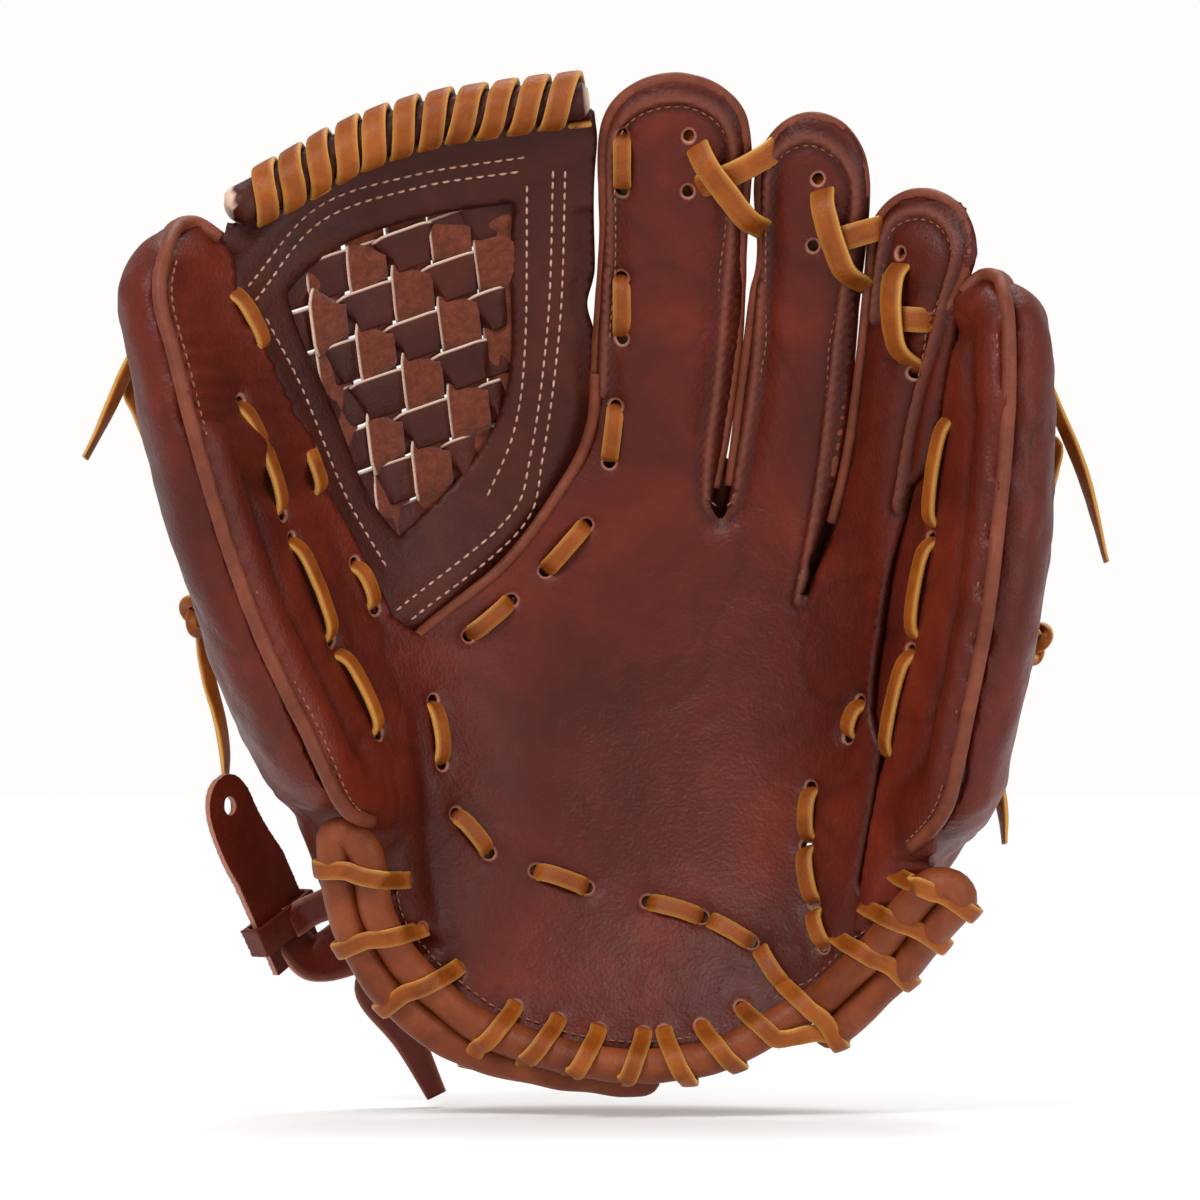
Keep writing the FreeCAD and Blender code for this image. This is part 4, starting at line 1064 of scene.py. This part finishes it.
def web_shape(flat, xz, edge):
    points = on_pocket(xz[:, 0], xz[:, 1])
    large = creases(points, 18)
    rise = 0.25 * noise(points, 14) - 0.2 * large
    for line in WEB_LINES:
        rise = rise - 0.35 * bell(distance(flat, unroll(spline(line, 60))), 1.1)
    rise = rise - 2.2 * smoothstep(9, 2, distance(flat, edge, True)) * (xz[:, 1] < 262)
    d_window = distance(flat, unroll(WINDOW_RING), True)
    rise = rise - 0.9 * smoothstep(2.5, 0, d_window)
    # Painted shade in the creases and at the window's sunken rim.
    return rise, {"shade": 0.2 * large + 0.35 * smoothstep(2.0, 0, d_window)}


bend(panel("web_frame_leather", WEB_RING, [], web_shape, WEB, ["web_frame_front"], depth=WEB_DEPTH,
           thick=WEB_LEATHER, plain_holes=[WINDOW_RING]), "thumb", WIDE_BEND)
backing_ring, backing_window = outline_of("web_frame_back", 0), outline_of("web_frame_back", 1)
bend(panel("web_frame_backing", under_the_edges(backing_ring, 3.0), [], web_shape, WEB, ["web_frame_back"],
           depth=WEB_DEPTH + 5.3, thick=WEB_LEATHER, plain_holes=[backing_window]), "thumb", WIDE_BEND)

beside_web = (FRONT_RING[:, 0] > -51) & (FRONT_RING[:, 0] < 2.2) & (FRONT_RING[:, 1] > 139)
beside_web &= FRONT_RING[:, 1] < 217
border = spline(evenly(FRONT_RING[beside_web], 24), 150)
welt = on_pocket(border[:, 0], border[:, 1], 0.25 * np.sin(border[:, 1] / 11) - 0.9)
welt = sweep(welt, outward(border[:, 0], border[:, 1]), round_section(1.7, 12))
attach(piece("palm_web_edge_piping", uneven(welt, 0.12, 5), WELT), "palm")

web_threads = [face_dashes(spline(line, 80), -WEB_DEPTH - 0.25, 3.3, 0.36) for line in WEB_LINES]
bend(piece("web_stitching", joined(web_threads), THREAD), "thumb", WIDE_BEND)

# The two sets of woven straps lean a little from upright and from level.
UP_LEAN, ACROSS_LEAN = math.radians(-6.0), math.radians(20.0)
STRAP_WAYS = {"web_straps_up": np.array((math.sin(UP_LEAN), math.cos(UP_LEAN))),
              "web_straps_across": np.array((math.cos(ACROSS_LEAN), math.sin(ACROSS_LEAN)))}


def strap_lines(source):
    """The direction across one set of straps, and the place of its middle strap along it."""
    along = STRAP_WAYS[source]
    across = np.array((along[1], -along[0]))
    places = [q[:, [0, 2]] @ across for q in islands(source)]
    middles = sorted(float(np.mean([q.min(), q.max()])) for q in places)
    return across, middles[len(middles) // 2]


def woven(source, other_source, sign):
    """One set of woven straps, passing over and under the other set."""
    along = STRAP_WAYS[source]
    across, start = strap_lines(source)
    other_across, other_start = strap_lines(other_source)
    window = np.array(WINDOW_RING)
    section = flat_section(STRAP_WIDTH, 1.4)[0]
    t = np.arange(-140, 140, 0.6) + np.array((-48.0, 222.0)) @ along
    parts = []
    for k in range(-7, 8):
        line = across * (start + k * WEAVE_PITCH) + np.outer(t, along)
        line = line[inside(line, window) | (distance(line, window, True) < 5.5)]
        gap = np.where(inside(line, window), distance(line, window, True), 0)
        if len(line) < 15 or gap.max() < 2.0:
            continue
        wave = np.cos(math.pi * ((line @ other_across - other_start) / WEAVE_PITCH + k))
        height = sign * 1.35 * np.tanh(5 * wave)
        depth = 6.1 - height * smoothstep(0.5, 6, gap) + 1.9 * (1 - smoothstep(0, 4, gap))
        middle = on_pocket(line[:, 0], line[:, 1])
        middle[:, 1] += depth
        strap = sweep(middle, outward(line[:, 0], line[:, 1]), section, pale=(section[:, 0] < -5.9) * 1.0)
        parts.append(uneven(strap, 0.14, 9))
    return joined(parts)


bend(piece("web_straps_up_suede", woven("web_straps_up", "web_straps_across", 1), SUEDE, ["web_straps_up"]),
     "thumb", WIDE_BEND)
bend(piece("web_straps_across_leather", woven("web_straps_across", "web_straps_up", -1), WEB,
           ["web_straps_across"]), "thumb", WIDE_BEND)

roll_points = cad("web_top_roll")[0]
web_roll = centre_line(roll_points, roll_points[:, 0], 9)
low_end = web_roll[0] - (web_roll[1] - web_roll[0]) * 0.75
high_end = web_roll[-1] + (web_roll[-1] - web_roll[-2]) * 0.7
web_roll = np.vstack([low_end, web_roll, high_end])
p, f, m = tube(web_roll, WEB_ROLL, rounded=2)
m["pale"] = np.where((p[:, 0] < low_end[0] + 1.2) | (p[:, 0] > high_end[0] - 1.0), 0.9, 0)
bend(piece("web_top_roll_leather", uneven((p, f, m), 0.3, 9), WEB, ["web_top_roll"]), "thumb", WIDE_BEND)

web_path = spline(web_roll, 160)
last = len(web_path) - 1
coils = []
turns = sorted(islands("web_top_lace"), key=lambda q: q[:, 0].mean())
places = [nearest(web_path, turn.mean(axis=0)) for turn in turns]
for k, i in enumerate(places):
    ahead = places[k + 1] if k + 1 < len(places) else 2 * i - places[k - 1]
    gap = abs(ahead - i) * length(web_path) / last
    along = unit(web_path[min(i + 2, last)] - web_path[max(i - 2, 0)])
    up = unit(np.cross(TOWARDS_FRONT, along))
    up = up if up[2] > 0 else -up
    path, facing = [], []
    for a in np.linspace(-90, 270, 34):
        angle = math.radians(a)
        away = TOWARDS_FRONT * math.cos(angle) + up * math.sin(angle)
        slide = 8.2 * a / 180 if a < 90 else 4.1 + (gap - 8.2) * (a - 90) / 180
        path.append(web_path[i] + away * (WEB_ROLL + 1.55 + 0.2 * math.sin(3 * angle + k)) + along * slide)
        facing.append(away)
    coils.append(lace(np.array(path), np.array(facing), 6.6 + 0.3 * math.sin(k * 2.1), 1.8, count=52))
bend(piece("web_top_lacing", joined(coils), LACE, ["web_top_lace"]), "thumb", WIDE_BEND)


# ---- lacing on the pocket's face --------------------------------------------------------------------
def face_run(a, b, lift, width=LACE_WIDTH, bow=0.5):
    """A run of lace that comes up through one hole, lies on the leather, and goes down the next."""
    a2, b2 = a[[0, 2]], b[[0, 2]]
    at = a2 + np.outer(np.array([0.0, 0.06, 0.2, 0.5, 0.8, 0.94, 1.0]), b2 - a2)
    at[0] = a2 - unit(b2 - a2) * 0.3
    at[-1] = b2 + unit(b2 - a2) * 0.3
    lifts = np.array([-3.4, -0.4, lift, lift + bow, lift, -0.4, -3.4])
    return lace(on_pocket(at[:, 0], at[:, 1], lifts), outward(at[:, 0], at[:, 1]), width)


for name, body in (("web_index_lace", "palm"), ("palm_lace", "palm"), ("thumb_pad_lace", "thumb"),
                   ("little_pad_lace", "little_finger"), ("web_thumb_lace", "thumb")):
    runs = joined([face_run(a, b, lift=1.0) for a, b in STITCH_ENDS[name]])
    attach(piece(name + "_run", runs, LACE, [name]), body)

crossed = []
for a, b in STITCH_ENDS["fingertip_lace"]:
    middle = (a + b) / 2
    height = float(pocket_y(middle[0], middle[2])) - middle[1]
    crossed.append(face_run(a, b, lift=max(1.3, height * 1.15), width=7.2, bow=1.6))
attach(piece("fingertip_crossed_lace", joined(crossed), LACE, ["fingertip_lace"]), "palm")


# ---- heel: two bound rolls with whipped lacing ------------------------------------------------------
def closer(path, reach=9.9):
    """The second roll drawn up against the first."""
    out = path.copy()
    for k, p in enumerate(path):
        near = front_path[nearest(front_path, p)]
        out[k] = near + (p - near) * min(1.0, reach / np.linalg.norm(p - near))
    return out


rear_left, rear_right = closer(rear_left), closer(rear_right)


def u_turn(a, a_before, b):
    """Points that carry one roll round into the other."""
    ahead = unit(a - a_before)
    reach = np.linalg.norm(b - a) / 2
    return [a + ahead * reach * 0.75 + (b - a) * 0.12, (a + b) / 2 + ahead * reach * 1.15,
            b + ahead * reach * 0.75 + (a - b) * 0.12]


left_front = front_path[split + 4:0:-8]
right_front = front_path[split - 4:-1:8]
left_roll = np.vstack([left_front, u_turn(left_front[-1], left_front[-2], rear_left[0]), rear_left])
right_roll = np.vstack([right_front, u_turn(right_front[-1], right_front[-2], rear_right[-1]),
                        rear_right[::-1]])
for name, path, wing, nodes in (
        ("heel_roll_left", left_roll, "thumb", ["heel_binding_thumb", "wrist_binding"]),
        ("heel_roll_right", right_roll, "little_finger", ["heel_binding", "heel_binding_little"])):
    roll = tube(path, HEEL_ROLL + 0.4, facing=(0, 1, 0.2), count=int(length(path) / 1.3), sides=26)
    bend(piece(name, uneven(roll, 0.35, 9), BINDING, nodes), wing)

rear_path = {"thumb": spline(rear_left, 120), "little_finger": spline(rear_right, 80)}
whips = {"thumb": [], "little_finger": []}
front, r = TOWARDS_FRONT, HEEL_ROLL + 1.6
for at, into, slide, hole in HEEL_TURNS:
    wing = "thumb" if at[0] < MIDLINE else "little_finger"
    other_at = rear_path[wing][nearest(rear_path[wing] * (1, 0, 1), at * (1, 0, 1))]
    hole[1] = float(pocket_y(hole[0], hole[2])) + 2.2
    lip = at + into * (HEEL_ROLL + 2.6) + slide
    lip[1] = float(pocket_y(lip[0], lip[2])) - 1.3
    path = [hole + into * 0.9, lip, at + into * r * 0.55 + front * r * 0.86 + slide * 0.5,
            at + front * r * 1.02 - into * 0.8, at - into * r * 0.6 + front * r * 0.8 - slide * 0.5]
    facing = [into * 0.3 + front, front + into * 0.3, front + into * 0.5, front, front - into * 0.6]
    if np.linalg.norm(other_at - at) > 18:
        path += [at - into * r * 0.98 - slide, at - into * r * 0.75 - front * r * 0.6 - slide]
        facing += [-into, -into - front * 0.6]
    else:
        gap = other_at - at
        out = unit(gap)
        path += [other_at - out * r * 0.25 + unit(front - out * 0.2) * r - slide,
                 other_at + out * r * 0.7 + front * r * 0.68 - slide * 1.3,
                 other_at + out * r - slide * 1.5,
                 other_at + out * r * 0.7 - front * r * 0.7 - slide * 1.6]
        facing += [front, front + out * 0.8, out, out - front * 0.7]
    whips[wing].append(lace(np.array(path), unit(np.array(facing)), thick=1.8))
for wing, nodes in (("thumb", ["heel_lace", "heel_lace_thumb"]), ("little_finger", ["heel_lace_little"])):
    bend(piece("heel_whip_lace_" + wing, joined(whips[wing]), LACE, nodes), wing)


# ---- back of the hand: leather from the finger backs to the walls, and the opening's binding --------
def slice_point(name, z, score):
    """The point of a node near a height that scores highest."""
    points = cad(name)[0]
    near = points[np.abs(points[:, 2] - z) < 4.5]
    return near[int(np.argmax(score(near)))]


def side_line(name, heights, score):
    raw = np.array([slice_point(name, z, score) for z in heights])
    raw[:, 2] = heights
    kernel = np.vstack([raw[:1], raw, raw[-1:]])
    return (kernel[:-2] + kernel[1:-1] * 2 + kernel[2:]) / 4


def bridge(name, a, b, bulge, wing):
    """Leather stretched from one edge to another, full in the middle."""
    rows, columns = 40, 34
    a, b = spline(a, rows)[:, None, :], spline(b, rows)[:, None, :]
    t = np.linspace(0, 1, columns)[None, :, None]
    fuller = 0.8 + 0.2 * np.sin(math.pi * np.linspace(0, 1, rows))[:, None, None]
    points = (a * (1 - t) + b * t + np.array(bulge) * 4 * t * (1 - t) * fuller).reshape(-1, 3)
    number = np.arange(rows * columns).reshape(rows, columns)
    corners = (number[1:, :-1], number[1:, 1:], number[:-1, 1:], number[:-1, :-1])
    faces = np.stack(corners, axis=2).reshape(-1, 4)
    points[:, 1] += 0.6 * noise(points, 16) - 0.45 * creases(points, 14)
    # Painted shade along the creases.
    made = piece(name, (points, faces, {"shade": 0.4 * creases(points, 14)}), GLOVE)
    baked(made, ("SOLIDIFY", {"thickness": LEATHER / 1000, "offset": -1.0}))
    stretch(made, wing, *BACK_BENDS[wing])


levels = np.array([110, 118, 128, 138, 148, 158, 168.0])
thumb_side_edge = side_line("thumb_back", levels, lambda q: q[:, 1] + 0.5 * q[:, 0])
index_side_edge = side_line("index_back", np.maximum(levels, 121), lambda q: -q[:, 0])
thumb_side_edge[:, 2] = index_side_edge[:, 2] = levels
thumb_side_edge += np.array((-3.0, -1.5, 0))
index_side_edge += np.array((3.5, 2.0, 0))
index_side_edge[:, 2] += np.linspace(0, 14, len(levels))
little_levels = np.array([108, 118, 130, 142, 154, 168, 182.0])
ring_side_edge = side_line("ring_back", np.maximum(little_levels, 121), lambda q: q[:, 0])
little_side_edge = side_line("little_back", little_levels, lambda q: q[:, 1] - 0.5 * q[:, 0])
ring_side_edge[:, 2] = little_levels
ring_side_edge += np.array((-3.0, 2.0, 0))
little_side_edge += np.array((3.0, -1.5, 0))
bridge("hand_back_thumb_panel", thumb_side_edge, index_side_edge, (0, 8, 0), "thumb")
bridge("hand_back_little_panel", ring_side_edge, little_side_edge, (0, 3, 0), "little_finger")

arch_points = cad("hand_opening_binding")[0]
arch = centre_line(arch_points, arch_points[:, 0], 10)
left_arch = np.vstack([thumb_side_edge[0] + (0, 2, -2), (thumb_side_edge[0] + arch[0]) / 2 + (0, 8.5, -2),
                       arch[:6]])
right_arch = np.vstack([arch[4:], (arch[-1] + little_side_edge[0]) / 2 + (1, 2.5, -2),
                        little_side_edge[0] + (0, 2, -2)])
for side, path, wing, nodes in (("thumb_side", left_arch, "thumb", ["hand_opening_binding"]),
                                ("little_side", right_arch, "little_finger", [])):
    roll = uneven(tube(path, 3.3, facing=(0, 0, 1)), 0.2, 7)
    stretch(piece("hand_opening_binding_" + side, roll, BINDING, nodes), wing, *BACK_BENDS[wing])

for left, right in (("index", "middle"), ("middle", "ring")):
    heights = np.linspace(120, 186, 9)
    valley = (side_line(left + "_back", heights, lambda q: q[:, 0])
              + side_line(right + "_back", heights, lambda q: -q[:, 0])) / 2 + np.array((0, 4.5, 0))
    seam = tube(np.vstack([valley[0] - (0, 1.5, 5), valley, valley[-1] + (0, -5, 9)]), 2.7)
    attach(piece(f"hand_back_seam_{left}_{right}", uneven(seam, 0.15, 6), WELT), "palm")

# ---- wrist strap, keeper and tongue -----------------------------------------------------------------
STRAP = {"smooth": 2, "lump": 0.2, "crease": 0.12, "size": 14}
TONGUE_FACING = (-0.69, 0.73, 0)
worn("wrist_strap_leather", "wrist_strap", GLOVE, "palm", voxel=0.9, **STRAP)
worn("strap_keeper_leather", "strap_keeper", GLOVE, "thumb", voxel=0.7, **STRAP)
tongue = worn("strap_tongue_leather", "strap_tongue", GLOVE, "strap_tongue", voxel=0.6,
              flat_way=TONGUE_FACING, **STRAP)
worn("strap_fleece_pile", "strap_fleece", FLEECE, "palm", voxel=1.6, smooth=2, lump=0.6, crease=0.2, size=6,
     puff=1.6)

# The tongue's end is rounded and its length sways a little.
tongue_way = unit((-0.36, -0.34, 0.87))
tongue_across = unit(np.cross(tongue_way, TONGUE_FACING))
p = coordinates(tongue)
up, side = (p - p.mean(axis=0)) @ tongue_way, (p - p.mean(axis=0)) @ tongue_across
half = np.abs(side).max()
tip = np.clip((up - up.max() + half * 1.2) / (half * 1.2), 0, 1)
narrow = np.sqrt(np.clip(1 - tip ** 2.6, 0.02, 1)) * (1 - 0.16 * smoothstep(0, up.max(), up))
sway = 1.6 * np.sin(np.clip(up / up.max(), 0, 1) * math.pi)
move_points(tongue, p + tongue_across * (side * (narrow - 1) + sway)[:, None])
tongue_tip = coordinates(tongue)[int(np.argmax(up))]

keeper = to_glove(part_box("strap_keeper")).mean(axis=0)
strap_low, strap_high = to_glove(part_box("wrist_strap"))
strap_middle = (strap_low[2] + strap_high[2]) / 2
strap_left = np.array((strap_low[0] + 6, strap_low[1] + 3.5, strap_middle))
strap_right = np.array((strap_high[0] - 6, strap_low[1] + 3.5, strap_middle))


def band(name, path, facing, widths, thick):
    """A leather strap whose width changes along its path."""
    count = 60
    section, pale = flat_section(1.0, thick)
    width = spread(np.array(widths)[:, None], count)[:, 0]
    shape = sweep(spline(path, count), unit(spread(facing, count)), section, width, pale * 0.6,
                  depth_scale=1.0)
    return piece(name, uneven(shape, 0.3, 12), GLOVE)


link_start = strap_left + (-8, -1, -2)
link_turn = keeper - tongue_way * 12 + (4.5, 1, 0)
made = band("strap_link_thumb_side",
            [strap_left + (4, 1.5, 0), link_start, (link_start + link_turn) / 2 + (-1, 0, -2.5), link_turn,
             keeper - tongue_way * 3],
            [(-0.3, 1, 0), (-0.4, 1, 0), (-0.55, 0.85, -0.1), (-0.66, 0.74, -0.1), TONGUE_FACING],
            [29, 26, 19, 14, 12], 2.0)
stretch(made, "thumb", (-52, 36, 60), (-74, 32, 56))
made = band("strap_link_little_side",
            [strap_right + (-4, 1.5, 0), strap_right + (5, -1.5, 1), strap_right + (11, -7, 4),
             strap_right + (14, -14, 8)],
            [(0.4, 1, 0), (0.6, 1, 0), (1, 0.6, 0), (1, 0.2, 0)], [29, 28, 26, 24], 2.2)
stretch(made, "little_finger", (76, 36, 60), (88, 32, 62))
tail = cad("strap_tail")[0]
tail_high, tail_low = ends(tail)
tail_start = strap_left + (6, -3, -4)
made = band("strap_tail_leather", [tail_start, (tail_start + tail_high) / 2 + (1, 0, -1), tail_high,
                                   tail.mean(axis=0), tail_low], [(0.2, 1, 0)] * 5, [10, 10, 9.5, 9, 6], 2.2)
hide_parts("strap_tail")
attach(made, "palm")
anchor = np.array(tree("thumb_back").find_nearest(Vector(keeper))[0])
made = band("keeper_tab", [keeper + (2.5, -1.5, 0), (keeper + anchor) / 2 + (0, 2, 0),
                           anchor + unit(anchor - keeper) * 1.5], [(-0.3, 1, 0)] * 3, [9.5, 9, 10], 2.4)
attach(made, "thumb")


# ---- lace ends and knots ----------------------------------------------------------------------------
def knot(centre):
    """A lace tied in a small trefoil knot."""
    t = np.linspace(0, 2 * math.pi, 50)[:-3]
    trefoil = [0.9 * (np.sin(t) + 2 * np.sin(2 * t)), -1.8 * np.sin(3 * t),
               1.1 * (np.cos(t) - 2 * np.cos(2 * t))]
    path = centre + np.stack(trefoil, axis=1) * 5.0 / 3.0
    section, pale = flat_section(3.4, 2.2)
    return sweep(evenly(path, 70), (0.2, 1, 0.3), section, pale=pale)


for source, wall, body, side in (("thumb_lace_ends", "thumb_back", "thumb", -1),
                                 ("little_lace_ends", "little_back", "little_finger", 1)):
    back_wall = tree(wall)
    solids = sorted(islands(source), key=lambda q: -q[:, 2].max())
    lump = max(solids, key=len)
    knot_at = lump.mean(axis=0)
    parts = [knot(knot_at)]
    for points in solids:
        if points is lump:
            continue
        high, low = ends(points)
        path = centre_line(points, along_length(points), 4)
        path = path if path[0][2] > path[-1][2] else path[::-1]
        path = np.vstack([high, path[1:-1], low])
        if np.linalg.norm(high - knot_at) < 18:
            path = np.vstack([knot_at, path[1:]])
        else:
            foot = np.array(back_wall.find_nearest(Vector(high))[0])
            if np.linalg.norm(foot - high) < 40:
                root = foot + unit(foot - high) * 1.5
                path = np.vstack([root, (foot * 0.45 + high * 0.55) + (0, 2.5, 2), path])
        if np.linalg.norm(low - knot_at) < 18:
            path = np.vstack([path[:-1], knot_at])
        elif np.linalg.norm(low - tongue_tip) < 22:
            path = np.vstack([path, tongue_tip + (0.8, 3.0, -3.0)])
        count = 14
        fine = spline(path, count)
        wave = np.sin(np.linspace(0, 2.4 * math.pi, count)) * 0.9
        fine[2:-1, 1] += wave[2:-1]
        fine[1:-1, 0] += 0.5 * wave[::-1][1:-1]
        twist = np.linspace(0.2, 1.3, count) * side
        facing = np.stack([np.sin(twist), np.cos(twist), 0.1 * twist], axis=1)
        parts.append(lace(fine, facing, LACE_WIDTH * 0.9, 1.7, taper=0.35))
    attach(piece(source + "_rawhide", joined(parts), LACE, [source]), body)

# ---- stage, light and camera ------------------------------------------------------------------------
white = bpy.data.materials.new("backdrop_white")
white.use_nodes = True
t = white.node_tree
paint = t.nodes["Principled BSDF"]
paint.inputs["Base Color"].default_value = (0.95, 0.95, 0.95, 1)
paint.inputs["Roughness"].default_value = 0.9
glow = node(t, "ShaderNodeEmission", (0, -300), Strength=1.0)
place = node(t, "ShaderNodeTexCoord", (-600, -300))
away = node(t, "ShaderNodeVectorMath", (-400, -300))
away.operation = "LENGTH"
fade = node(t, "ShaderNodeMapRange", (-200, -300), From_Min=0.25, From_Max=0.75)
both = node(t, "ShaderNodeMixShader", (250, 0))
wire(t, (place, "Object", away, 0), (away, "Value", fade, "Value"), (fade, "Result", both, "Fac"),
     (paint, "BSDF", both, 1), (glow, "Emission", both, 2),
     (both, "Shader", t.nodes["Material Output"], "Surface"))

low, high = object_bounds()
floor_mesh = bpy.data.meshes.new("floor")
floor_mesh.from_pydata([(-4, -4, 0), (4, -4, 0), (4, 4, 0), (-4, 4, 0)], [], [(0, 1, 2, 3)])
floor = bpy.data.objects.new("floor", floor_mesh)
floor.location.z = low.z - 0.002
bpy.context.scene.collection.objects.link(floor)
floor.data.materials.append(white)
floor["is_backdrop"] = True

world = bpy.data.worlds.new("studio")
world.use_nodes = True
t = world.node_tree
sky = t.nodes["Background"]
sky.inputs["Color"].default_value = (1.0, 0.985, 0.97, 1)
rays = node(t, "ShaderNodeLightPath", (-600, 200))
level = node(t, "ShaderNodeMapRange", (-300, 200), To_Min=0.62, To_Max=1.0)
wire(t, (rays, "Is Camera Ray", level, "Value"), (level, "Result", sky, "Strength"))
bpy.context.scene.world = world

for name, place, size, power in (("key_light", (-0.6, -1.2, 1.0), 0.6, 17),
                                 ("fill_light", (1.0, -0.9, 0.4), 0.8, 7),
                                 ("top_light", (0.1, 0.5, 1.3), 0.8, 10)):
    data = bpy.data.lights.new(name, "AREA")
    data.size = size
    data.energy = power
    made = bpy.data.objects.new(name, data)
    made.location = place
    made.rotation_euler = (Vector((0, 0, 0.09)) - Vector(place)).to_track_quat("-Z", "Y").to_euler()
    bpy.context.scene.collection.objects.link(made)

LENS, SENSOR, VIEW_WIDTH = 260, 36, 0.348
camera_data = bpy.data.cameras.new("camera")
camera_data.lens = LENS
camera_data.sensor_width = SENSOR
camera_data.clip_end = 20
camera = bpy.data.objects.new("camera", camera_data)
camera.location = (-0.005, -0.03 - VIEW_WIDTH * LENS / SENSOR, 0.091)
camera.rotation_euler = (math.pi / 2, 0, 0)
bpy.context.scene.collection.objects.link(camera)
bpy.context.scene.camera = camera
bpy.context.scene.view_settings.view_transform = "Standard"

low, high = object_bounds()
